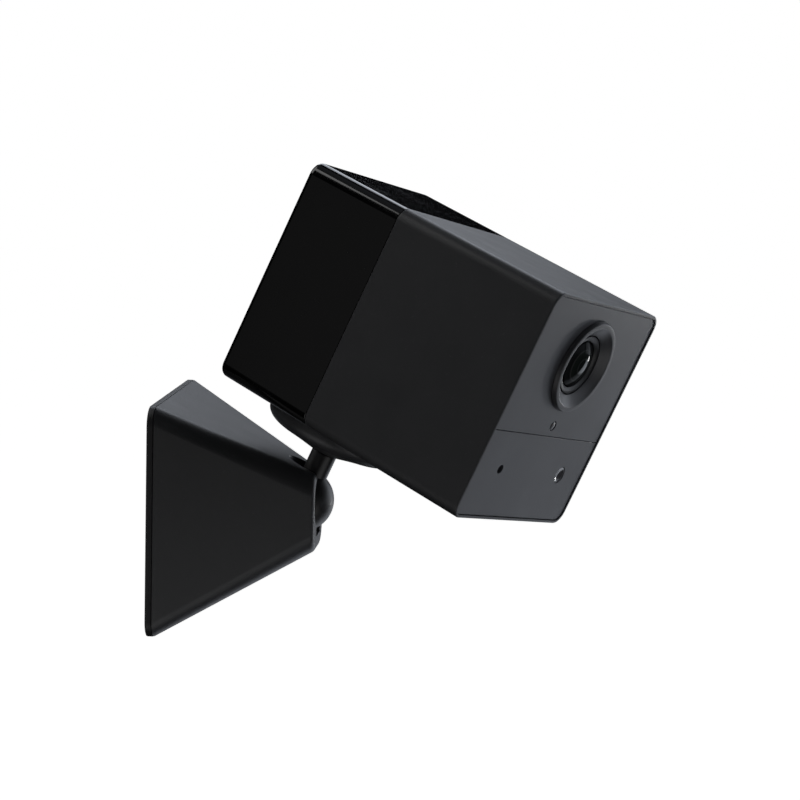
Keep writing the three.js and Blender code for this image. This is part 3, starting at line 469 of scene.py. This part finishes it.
def arc(start, pivot, degrees, steps):
    """An arc in the XZ plane from a point about a pivot, and the arc's last point."""
    shape = bmesh.new()
    first = shape.verts.new((start[0], 0, start[1]))
    drawn = bmesh.ops.spin(
        shape, geom=[first], cent=(pivot[0], 0, pivot[1]), axis=(0, 1, 0),
        angle=math.radians(degrees), steps=steps,
    )
    return shape, drawn["geom_last"][0]


def coated(name, color, rough):
    """Cast metal under a thin sprayed coat: a slight orange peel over fine grain."""
    finish = Finish(name)
    peel = finish.noise(1.4, 2.0)
    grain = finish.noise(0.2, 2.0)
    worn = finish.noise(7.0, 5.0)
    return finish.surface({
        "Base Color": finish.between(worn, color, [1.5 * c for c in color]),
        "Roughness": rough + worn * 0.1 + grain * 0.05,
        "Coat Weight": 0.15,
        "Coat Roughness": 0.3,
        "Normal": finish.bump(grain, 0.004, finish.bump(peel, 0.012)),
    })


coated_black = coated("black_metal", (0.010, 0.010, 0.011), 0.38)
pole_angle = 180 - math.degrees(math.asin(NECK_RADIUS / BALL_RADIUS))
ball, pole = arc((0, -BALL_RADIUS), (0, 0), -pole_angle, 32)
neck = outline(
    [(NECK_RADIUS, 9.5, 0), (NECK_RADIUS, DISH_FLOOR, 0.25), (SPIGOT, DISH_FLOOR, 0),
     (SPIGOT, FLOOR_TOP - 0.3, 0.3), (0, FLOOR_TOP - 0.3, 0)],
    start=pole, shape=ball,
)
piece("ball_and_neck", turned(neck, steps=80), NECK, "arm", "black_metal", coated_black, "ball_neck",
      flat=False)


# ---------- Magnet dish ----------
# A round cup in satin charcoal plastic that holds a ring magnet under a thin foam pad.
# It sits on the neck's spigot, and a steel plate inside the head sticks to it.
DISH_RADIUS = 16.0
DISH_TOP = 19.9
SHOULDER = 16.8
POCKET = 14.5
MAGNET_FLOOR = 16.1

dish = outline([
    (2.5, DISH_FLOOR + 0.3, 0), (4.3, DISH_FLOOR + 0.3, 0.3), (10.4, 14.3, 3.0), (14.4, 15.3, 0.8),
    (DISH_RADIUS, SHOULDER, 0.9), (DISH_RADIUS, DISH_TOP, 0.5), (POCKET, DISH_TOP, 0.15),
    (POCKET, MAGNET_FLOOR, 0), (3.9, MAGNET_FLOOR, 0), (2.9, FLOOR_TOP, 0), (2.5, FLOOR_TOP, 0),
], closed=True)
piece("magnet_cup", turned(dish, steps=128), NECK, "arm", "matte_charcoal", charcoal, "magnet_dish",
      flat=False)


def rubber(name, color, rough):
    """Soft black rubber: dusty, with a fine leathery skin."""
    finish = Finish(name)
    skin = finish.noise(0.18, 3.0)
    dust = finish.band(finish.noise(2.2, 6.0), 0.45, 0.8)
    return finish.surface({
        "Base Color": finish.between(dust * 0.5, color, [2.2 * c for c in color]),
        "Roughness": rough + dust * 0.1 - skin * 0.06,
        "Normal": finish.bump(skin, 0.02),
        "Specular IOR Level": 0.35,
    })


black_rubber = rubber("black_rubber", (0.009, 0.009, 0.010), 0.72)
finish_nodes(steel, "dish_magnet", "dish_screw", "steel_plate")
finish_nodes(black_rubber, "dish_pad", "rear_gasket", "microphone")


# ---------- Front sleeve ----------
# The matte front half of the camera's housing: a square tube with a thin lip round the face.
# Satin charcoal plastic with a very fine moulded texture, screwed to the inner frame from behind.
HEAD = NECK @ Matrix.Translation((0, 0, NECK_LENGTH))
HEAD_WIDTH = 51.5
HEAD_HEIGHT = 52.0
HEAD_CORNER = 3.1
FRONT = -48.6
REAR = 18.9
JOINT = -6.3
GAP = 0.3
SEAM = 0.08
WALL = 2.0
LIP = 0.7
LIP_ROUND = 0.3
PANEL_FRONT = FRONT + 0.4
PANEL_BACK = PANEL_FRONT + 1.6
MIDDLE = (0, HEAD_HEIGHT / 2)


def end_face(shape, side):
    """The largest face that looks forward (side -1) or back (side 1)."""
    shape.normal_update()
    facing = [f for f in shape.faces if f.normal.y * side > 0.99]
    return max(facing, key=lambda f: f.calc_area())


def inset(shape, face, width):
    bmesh.ops.inset_region(shape, faces=[face], thickness=width, use_boundary=True, use_even_offset=True)


def sunk(shape, face, depth):
    """Extrudes a face along Y by a depth, and gives the face at the bottom."""
    made = bmesh.ops.extrude_face_region(shape, geom=[face])["geom"]
    moved = [item for item in made if isinstance(item, bmesh.types.BMVert)]
    bmesh.ops.translate(shape, vec=(0, depth, 0), verts=moved)
    bmesh.ops.delete(shape, geom=[face], context="FACES_ONLY")
    return next(item for item in made if isinstance(item, bmesh.types.BMFace))


sleeve = bar(HEAD_WIDTH, HEAD_HEIGHT, FRONT, JOINT - SEAM / 2, MIDDLE, HEAD_CORNER)
back_rim = list(end_face(sleeve, 1).edges)
soften(sleeve, back_rim, 0.15, 2)
soften(sleeve, list(end_face(sleeve, -1).edges), LIP_ROUND, 4)
face = end_face(sleeve, -1)
inset(sleeve, face, LIP - LIP_ROUND)
face = sunk(sleeve, face, PANEL_BACK + GAP - FRONT)
inset(sleeve, face, WALL - LIP)
back = end_face(sleeve, 1)
inset(sleeve, back, WALL - 0.15)
rims = [*face.edges, *back.edges]
bmesh.ops.delete(sleeve, geom=[face, back], context="FACES_ONLY")
bmesh.ops.bridge_loops(sleeve, edges=rims)
piece("front_sleeve", sleeve, HEAD, "head", "matte_charcoal", charcoal, "front_shell")


# ---------- Face panels ----------
# Two satin panels close the front, set just behind the sleeve's lip with a dark gap round them.
# The upper one carries the lens and the status light, the lower one the microphone and light sensor.
LENS_Z = 37.4
SEAM_Z = 20.5
LED_Z = 23.0
SENSOR_Z = 11.8
SENSOR_X = 14.4
PANEL_EDGE = 0.82
FACE_FRONT = FRONT + 0.2
BEZEL_SEAT = 10.2
LAMP_HOLE = 1.17
SOUND_HOLE = 1.0
WINDOW_HOLE = 1.97
HALF_SEAM = 0.06

panel_charcoal = moulded(
    "panel_charcoal", (0.064, 0.066, 0.073), (0.078, 0.080, 0.088), 0.40, 0.28, 0.008,
)


def panel(low, high, holes):
    """The part of the face between two heights, with its holes."""
    sheet = bar(
        HEAD_WIDTH - 2 * PANEL_EDGE, HEAD_HEIGHT - 2 * PANEL_EDGE, FACE_FRONT, PANEL_BACK, MIDDLE,
        HEAD_CORNER - PANEL_EDGE,
    )
    for height, side in ((low, -1), (high, 1)):
        cut = bmesh.ops.bisect_plane(
            sheet, geom=[*sheet.verts, *sheet.edges, *sheet.faces], plane_co=(0, 0, height),
            plane_no=(0, 0, side), clear_outer=True,
        )
        rim = [item for item in cut["geom_cut"] if isinstance(item, bmesh.types.BMEdge)]
        bmesh.ops.edgeloop_fill(sheet, edges=rim)
    bmesh.ops.recalc_face_normals(sheet, faces=sheet.faces)
    sheet = combined(sheet, "DIFFERENCE", holes)
    soften(sheet, crisp_edges(sheet, lambda co: co.y < FACE_FRONT + 0.001, 60), 0.12, 2)
    return sheet


upper = panel(SEAM_Z + HALF_SEAM, 60, [
    rod(BEZEL_SEAT, -60, 0, (0, 0, LENS_Z), steps=96), rod(LAMP_HOLE, -60, 0, (0, 0, LED_Z)),
])
lower = panel(-5, SEAM_Z - HALF_SEAM, [
    rod(SOUND_HOLE, -60, 0, (-SENSOR_X, 0, SENSOR_Z)), rod(WINDOW_HOLE, -60, 0, (SENSOR_X, 0, SENSOR_Z)),
])
piece("upper_face_panel", upper, HEAD, "head", "panel_charcoal", panel_charcoal, "front_panel_upper")
piece("lower_face_panel", lower, HEAD, "head", "panel_charcoal", panel_charcoal, "front_panel_lower")


# ---------- Lens ----------
# A raised plastic surround with a shallow funnel, a black metal ring, and a domed front glass.
# Behind them the barrel screws into its holder in front of the image sensor's board.
CREST = PANEL_FRONT - 1.25
FUNNEL_FLOOR = CREST + 1.6
BEZEL_BACK = PANEL_BACK + 0.8
GLASS_RADIUS = 5.2
GLASS_EDGE = -47.35
GLASS_SAG = 1.3
GLASS_BACK = -46.35

surround = outline([
    (7.1, FUNNEL_FLOOR, 0), (7.5, FUNNEL_FLOOR - 0.3, 0.1), (8.95, CREST + 0.35, 0.4), (9.3, CREST, 0.12),
    (10.4, CREST, 0.14), (10.75, PANEL_FRONT - 0.3, 0.05), (9.9, PANEL_FRONT - 0.3, 0), (9.9, BEZEL_BACK, 0),
    (5.5, BEZEL_BACK, 0), (5.5, FUNNEL_FLOOR + 1.2, 0), (7.1, FUNNEL_FLOOR + 1.2, 0),
], closed=True)
ring = outline([
    (5.5, FUNNEL_FLOOR + 0.5, 0.1), (6.25, FUNNEL_FLOOR + 0.05, 0.15), (6.8, FUNNEL_FLOOR, 0.1),
    (6.8, FUNNEL_FLOOR + 0.9, 0), (5.5, FUNNEL_FLOOR + 0.9, 0),
], closed=True)
dome_radius = (GLASS_RADIUS ** 2 + GLASS_SAG ** 2) / (2 * GLASS_SAG)
dome_angle = math.degrees(math.asin(GLASS_RADIUS / dome_radius))
apex = GLASS_EDGE - GLASS_SAG
dome, rim_point = arc((0, apex), (0, apex + dome_radius), -dome_angle, 16)
glass = outline([(GLASS_RADIUS, GLASS_BACK, 0), (0, GLASS_BACK, 0)], start=rim_point, shape=dome)

lens_finish = Finish("lens_glass")
lens_centre = HEAD @ Vector((0, GLASS_EDGE, LENS_Z))
from_centre = lens_finish.node(
    "ShaderNodeVectorMath", {"operation": "SUBTRACT"}, {0: lens_finish.place, 1: lens_centre},
)
sideways = lens_finish.node(
    "ShaderNodeVectorMath", {"operation": "CROSS_PRODUCT"}, {0: from_centre, 1: backward},
)
radius = lens_finish.node("ShaderNodeVectorMath", {"operation": "LENGTH"}, {0: sideways}, "Value")
# The front glass's colour is a dark green tint with painted light: two lighter rings stand for reflections
# off the inner lens rims, and painted shade darkens its outer edge.
glass_tint_and_painted_rings = lens_finish.node("ShaderNodeValToRGB", {"stops": [
    (0.0, (0.010, 0.013, 0.012)), (0.30, (0.016, 0.020, 0.018)), (0.34, (0.040, 0.044, 0.042)),
    (0.40, (0.014, 0.017, 0.015)), (0.66, (0.020, 0.024, 0.021)), (0.70, (0.050, 0.052, 0.052)),
    (0.76, (0.014, 0.015, 0.015)), (0.93, (0.020, 0.021, 0.022)), (1.0, (0.006, 0.006, 0.006)),
]}, {"Fac": radius * (1 / (GLASS_RADIUS * MM))}, "Color")
haze = lens_finish.noise(2.5, 5.0)
lens_material = lens_finish.surface({
    "Base Color": glass_tint_and_painted_rings,
    "Roughness": 0.07 + haze * 0.03,
    "Specular IOR Level": 0.015,
    "Coat Weight": 0.75 - 0.73 * lens_finish.band(radius * (1 / MM), 1.3, 2.1),
    "Coat Roughness": 0.06,
})
surround_plastic = moulded(
    "surround_plastic", (0.056, 0.057, 0.062), (0.068, 0.069, 0.076), 0.40, 0.25, 0.006,
)
piece("lens_surround", turned(surround, "Y", (0, LENS_Z), 128), HEAD, "head", "black_plastic",
      surround_plastic, "lens_bezel", flat=False)
piece("lens_ring", turned(ring, "Y", (0, LENS_Z), 128), HEAD, "head", "black_metal", coated_black,
      "lens_trim", flat=False)
piece("front_glass", turned(glass, "Y", (0, LENS_Z), 96), HEAD, "head", "lens_glass", lens_material,
      "lens_glass", flat=False)


def circuit(name, color, ink):
    """Circuit board: solder mask over copper tracks, with a fine laid weave under it."""
    finish = Finish(name)
    cells = {"Vector": finish.place, "Scale": 900.0, "Mortar Size": 0.03}
    cells |= {"Color1": (0, 0, 0, 1), "Color2": (1, 1, 1, 1)}
    tracks = finish.node("ShaderNodeTexBrick", {}, cells, "Fac")
    weave = finish.noise(0.5, 2.0)
    return finish.surface({
        "Base Color": finish.between(
            tracks * 0.8, finish.between(weave, color, [1.4 * c for c in color]), ink,
        ),
        "Roughness": 0.34 + weave * 0.15,
        "Normal": finish.bump(tracks, 0.02),
    })


board = circuit("board", (0.012, 0.070, 0.024), (0.05, 0.19, 0.06))
dark_glass_finish = Finish("dark_window")
clouding = dark_glass_finish.noise(4.0, 2.0)
dark_window = dark_glass_finish.surface({
    "Base Color": dark_glass_finish.between(clouding, (0.085, 0.086, 0.092), (0.11, 0.11, 0.118)),
    "Roughness": 0.07 + clouding * 0.08,
    "Coat Weight": 0.5,
    "Coat Roughness": 0.05,
})
finish_nodes(coated_black, "lens_barrel")
finish_nodes(black_plastic, "lens_holder")
finish_nodes(dark_window, "image_sensor")
finish_nodes(board, "sensor_board", "front_board")


# ---------- Status light and light sensor ----------
# A smoked diffuser in front of the status LED, and a dished dark window over the light sensor.
# Both are clear plastic rods that drop into their holes from behind; the motion sensor is inside.
lamp_finish = Finish("smoked_lamp")
milk = lamp_finish.noise(0.5, 3.0)
smoked = lamp_finish.surface({
    "Base Color": lamp_finish.between(milk, (0.048, 0.049, 0.054), (0.064, 0.065, 0.071)),
    "Roughness": 0.34 + milk * 0.1,
    "Subsurface Weight": 0.2,
    "Subsurface Scale": 0.0005,
    "Coat Weight": 0.1,
})
PIECE_BACK = PANEL_BACK + 4.2
lamp = outline([
    (0, FACE_FRONT + 0.04, 0), (0.8, FACE_FRONT + 0.06, 0), (1.1, FACE_FRONT + 0.2, 0.1),
    (1.1, PIECE_BACK, 0.1), (0, PIECE_BACK, 0),
])
window = outline([
    (0, FACE_FRONT + 0.55, 0), (1.1, FACE_FRONT + 0.42, 0.6), (1.6, FACE_FRONT + 0.12, 0.12),
    (1.9, FACE_FRONT + 0.1, 0.12), (1.9, PIECE_BACK, 0.1), (0, PIECE_BACK, 0),
])
piece("status_light", turned(lamp, "Y", (0, LED_Z), 48), HEAD, "head", "lamp_white", smoked, "status_led",
      flat=False)
piece("light_sensor_window", turned(window, "Y", (SENSOR_X, SENSOR_Z), 48), HEAD, "head", "dark_window",
      dark_window, "light_sensor", flat=False)
finish_nodes(steel, "pir_sensor")


# ---------- Rear cup ----------
# The glossy black rear half, one deep moulding with the port recess, speaker slots and button hole.
# It slides over a rubber gasket, and one screw behind the flap holds it.
REAR_WALL = 2.4
REAR_ROUND = 1.2
FLAP_WIDTH = 25.0
FLAP_LOW = 8.0
FLAP_TOP = 19.0
PORT_Z = 13.5
RECESS_FLOOR = REAR - 2.3
PORT_WALL_BACK = RECESS_FLOOR - 2.4
USB_X = -7.7
CARD_X = 7.3
CASE_SCREW_X = -0.4
BUTTON = (15.0, 28.2)
SPEAKER = (-4.0, 35.85)
SPEAKER_REACH = 8.55
SLOT_PITCH = 3.66

gloss_finish = Finish("gloss_black")
flow = gloss_finish.noise(11.0, 2.0)
smear = gloss_finish.band(gloss_finish.noise(14.0, 7.0), 0.48, 0.75)
dust = gloss_finish.band(gloss_finish.noise(0.5, 1.0), 0.73, 0.8)
gloss_black = gloss_finish.surface({
    "Base Color": gloss_finish.between(
        dust * 0.3 + smear * 0.12, (0.0035, 0.0035, 0.0037), (0.02, 0.02, 0.021),
    ),
    "Roughness": 0.11 + smear * 0.07 + dust * 0.2,
    "Coat Weight": 0.25,
    "Coat Roughness": 0.05,
    "Normal": gloss_finish.bump(flow, 0.02),
})

cup = bar(HEAD_WIDTH, HEAD_HEIGHT, JOINT + SEAM / 2, REAR, MIDDLE, HEAD_CORNER)
soften(cup, list(end_face(cup, -1).edges), 0.15, 2)
soften(cup, list(end_face(cup, 1).edges), REAR_ROUND, 6)
face = end_face(cup, -1)
inset(cup, face, WALL - 0.15)
sunk(cup, face, REAR - REAR_WALL - JOINT - SEAM / 2)
port_boss = bar(30.4, 16.4, PORT_WALL_BACK, REAR - REAR_WALL + 1, (0, PORT_Z))
cup = combined(cup, "UNION", [port_boss])
middle_row = 2
slots = []
for row in range(5):
    drop = (row - middle_row) * SLOT_PITCH
    length = 2 * math.sqrt(SPEAKER_REACH ** 2 - drop ** 2)
    slots.append(bar(length, 1.2, REAR - 4, REAR + 1, (SPEAKER[0], SPEAKER[1] + drop), 0.55, 5))
cup = combined(cup, "DIFFERENCE", [
    bar(FLAP_WIDTH + 2 * GAP, FLAP_TOP - FLAP_LOW + 2 * GAP, RECESS_FLOOR, REAR + 1, (0, PORT_Z), 0.5, 4),
    bar(9.2, 3.8, PORT_WALL_BACK - 1, REAR, (USB_X, PORT_Z), 1.85, 8),
    bar(10.0, 2.4, PORT_WALL_BACK - 1, REAR, (CARD_X, PORT_Z), 0.4, 3),
    rod(SCREW_HOLE, 0, REAR, (CASE_SCREW_X, 0, PORT_Z), steps=24),
    rod(2.2, RECESS_FLOOR - 1.5, REAR, (CASE_SCREW_X, 0, PORT_Z)),
    rod(3.8, 0, REAR + 1, (BUTTON[0], 0, BUTTON[1]), steps=64),
    *slots,
])
soften(cup, crisp_edges(cup, lambda co: co.y > REAR - 0.001, 60), 0.22, 3)
piece("rear_cup", cup, HEAD, "head", "gloss_black", gloss_black, "rear_shell")


# ---------- Ports, case screw and speaker ----------
# A USB socket and a card slot on the board behind the flap, with the case screw between them.
# The speaker sits behind the slots under a black acoustic cloth.
cloth_finish = Finish("speaker_cloth")
warp, weft = [
    cloth_finish.node(
        "ShaderNodeTexWave", {"bands_direction": way}, {"Vector": cloth_finish.place, "Scale": 900.0},
    )
    for way in ("X", "Z")
]
speaker_cloth = cloth_finish.surface({
    "Base Color": cloth_finish.between(warp * weft, (0.006, 0.006, 0.006), (0.03, 0.03, 0.031)),
    "Roughness": 0.85 + warp * 0.1,
    "Normal": cloth_finish.bump(warp * weft, 0.05),
})
finish_nodes(steel, "usb_port", "card_slot")
finish_nodes(speaker_cloth, "speaker")
case = screw_head(SCREW_HEAD, SCREW_HEAD_HEIGHT, SCREW_SHANK, SCREW_LENGTH)
CASE_SEAT = RECESS_FLOOR - 1.2
facing_back = Matrix.Translation((CASE_SCREW_X, CASE_SEAT, PORT_Z)) @ Matrix.Rotation(-math.pi / 2, 4, "X")
piece("case_screw_cross_head", case, HEAD @ facing_back, "head", "steel", steel, "case_screw")


# ---------- Inner frame, battery and boards ----------
# A black moulded frame holds the rechargeable pack, the boards and the radio module.
# The pack is wrapped in blue film, and four screws tie the frame to the front sleeve.
wrap_finish = Finish("battery_wrap")
crease = wrap_finish.noise(3.0, 5.0)
battery_wrap = wrap_finish.surface({
    "Base Color": wrap_finish.between(crease, (0.02, 0.09, 0.24), (0.04, 0.14, 0.34)),
    "Roughness": 0.25 + crease * 0.2,
    "Normal": wrap_finish.bump(crease, 0.08),
})
finish_nodes(black_plastic, "chassis", "tact_switch")
finish_nodes(steel, "chassis_screw_1", "chassis_screw_2", "chassis_screw_3", "chassis_screw_4", "wifi_module")
finish_nodes(battery_wrap, "battery_pack")
finish_nodes(board, "main_board", "io_board")


# ---------- Power button ----------
# A round rubber-skinned button with a dished top, beside the speaker on the rear face.
# A flange inside keeps it in its hole, and its stem presses the switch on the board.
button_low = 11.2
button = outline([
    (0, button_low, 0), (2.0, button_low, 0.15), (2.0, REAR - 3.7, 0.1), (4.6, REAR - 3.7, 0.1),
    (4.6, REAR - 2.7, 0.1), (3.5, REAR - 2.7, 0), (3.5, REAR + 0.8, 0.35), (2.7, REAR + 0.78, 0.2),
    (1.2, REAR + 0.5, 0.8), (0, REAR + 0.45, 0),
])
piece("round_button", turned(button, "Y", BUTTON, 64), HEAD, "button", "black_rubber", black_rubber,
      "power_button", flat=False)


# ---------- Port flap ----------
# A rubber flap that closes the port recess and turns down about its rounded lower edge.
# Its outer face has a moulded groove for a fingernail.
flap = bar(FLAP_WIDTH, FLAP_TOP - FLAP_LOW, REAR - 2, REAR, (0, PORT_Z))
hinge_edges = [e for e in flap.edges if all(v.co.z < FLAP_LOW + 0.01 for v in e.verts)
               and abs(e.verts[0].co.x - e.verts[1].co.x) > 1]
soften(flap, hinge_edges, 0.999, 8)
soften(flap, crisp_edges(flap, lambda co: co.z > FLAP_LOW + 0.9, 60), 0.25, 3)
nail = rod(1.6, -4.5, 4.5, steps=48)
soften(nail, crisp_edges(nail, lambda co: True, 60), 1.2, 6)
bmesh.ops.rotate(nail, matrix=Matrix.Rotation(math.pi / 2, 3, "Z"), verts=nail.verts)
bmesh.ops.translate(nail, vec=(0, REAR + 1.05, FLAP_TOP - 2.1), verts=nail.verts)
flap = combined(flap, "DIFFERENCE", [nail])
piece("rubber_port_flap", flap, HEAD, "flap", "black_rubber", black_rubber, "port_flap")


# ---------- Floor, backdrop and light ----------
# A plain pale floor under the camera, a white surround, and large soft lamps round the head.
# The lamps light the object only and leave its near side in shade. A small one lights the glass.
LAMP_DISTANCE = 0.8
LIT_POINT = Vector((0, -0.035, 0.02))


def softbox(name, azimuth, elevation, size, brightness, color):
    """A square lamp of even brightness that looks at the camera head."""
    lamp_data = bpy.data.lights.new(name, "AREA")
    lamp_data.shape, lamp_data.size = "SQUARE", size
    lamp_data.color = color
    lamp_data.energy = brightness * math.pi * size * size
    made = bpy.data.objects.new(name, lamp_data)
    a, e = math.radians(azimuth), math.radians(elevation)
    away = Vector((math.sin(a) * math.cos(e), -math.cos(a) * math.cos(e), math.sin(e)))
    made.location = LIT_POINT + away * LAMP_DISTANCE
    made.rotation_euler = (-away).to_track_quat("-Z", "Y").to_euler()
    made.visible_camera = False
    bpy.context.scene.collection.objects.link(made)


NEUTRAL = (1.0, 1.0, 1.0)
COOL = (0.86, 0.91, 1.0)
# Each lamp's name, azimuth and elevation in degrees, size in metres, brightness and colour.
LAMPS = (
    ("high_far_lamp", 88, 36, 0.5, 1.75, COOL),
    ("high_wall_lamp", 180, 50, 0.6, 1.75, NEUTRAL),
    ("top_lamp", 0, 85, 0.6, 0.12, COOL),
    ("front_lamp", 0, 10, 0.6, 0.65, COOL),
    ("far_front_lamp", 45, 10, 0.6, 1.42, COOL),
    ("low_far_lamp", 60, -35, 0.6, 0.95, COOL),
    ("low_near_lamp", -45, -35, 0.6, 0.8, NEUTRAL),
    ("low_left_lamp", -130, -35, 0.6, 0.75, NEUTRAL),
    ("left_fill", -130, 0, 0.6, 0.10, NEUTRAL),
    ("catch_lamp", 50, -13, 0.05, 32.0, NEUTRAL),
)
for settings in LAMPS:
    softbox(*settings)

floor_finish = Finish("pale_floor")
paper = floor_finish.noise(30.0, 5.0)
floor_material = floor_finish.surface({
    "Base Color": floor_finish.between(paper, (0.86, 0.86, 0.86), (0.90, 0.90, 0.90)),
    "Roughness": 0.9 + paper * 0.05,
    "Emission Color": (1, 1, 1, 1),
    "Emission Strength": 1.0,
})
floor_shape = bmesh.new()
bmesh.ops.create_grid(floor_shape, x_segments=1, y_segments=1, size=6)
bmesh.ops.translate(floor_shape, vec=(0, 0, -0.45), verts=floor_shape.verts)
floor_mesh = bpy.data.meshes.new("floor")
floor_shape.to_mesh(floor_mesh)
floor_shape.free()
floor_mesh.materials.append(floor_material)
floor = bpy.data.objects.new("floor", floor_mesh)
floor.visible_diffuse = floor.visible_glossy = False
bpy.context.scene.collection.objects.link(floor)

world = bpy.data.worlds.new("white_surround")
world.use_nodes = True
world.node_tree.nodes["Background"].inputs["Color"].default_value = (1, 1, 1, 1)
world.cycles_visibility.diffuse = False
world.cycles_visibility.glossy = False
world.cycles_visibility.transmission = False
bpy.context.scene.world = world
bpy.context.scene.view_settings.view_transform = "Standard"


# ---------- Picture camera ----------
# It stands a little over half a metre out on the left, slightly above the head, and leans a little.
# Its lens is long, so the object's parallel edges stay nearly parallel.
CAMERA_PLACE = (-0.5095, -0.0988, 0.0999)
CAMERA_TURN = (81.859, -1.493, -84.592)
lens_data = bpy.data.cameras.new("picture_camera")
lens_data.sensor_width = 36
lens_data.lens = 102.9
lens_data.shift_x, lens_data.shift_y = 0.0018, -0.0036
lens_data.clip_start, lens_data.clip_end = 0.01, 50
picture_camera = bpy.data.objects.new("picture_camera", lens_data)
picture_camera.location = CAMERA_PLACE
picture_camera.rotation_euler = [math.radians(angle) for angle in CAMERA_TURN]
bpy.context.scene.collection.objects.link(picture_camera)
bpy.context.scene.camera = picture_camera
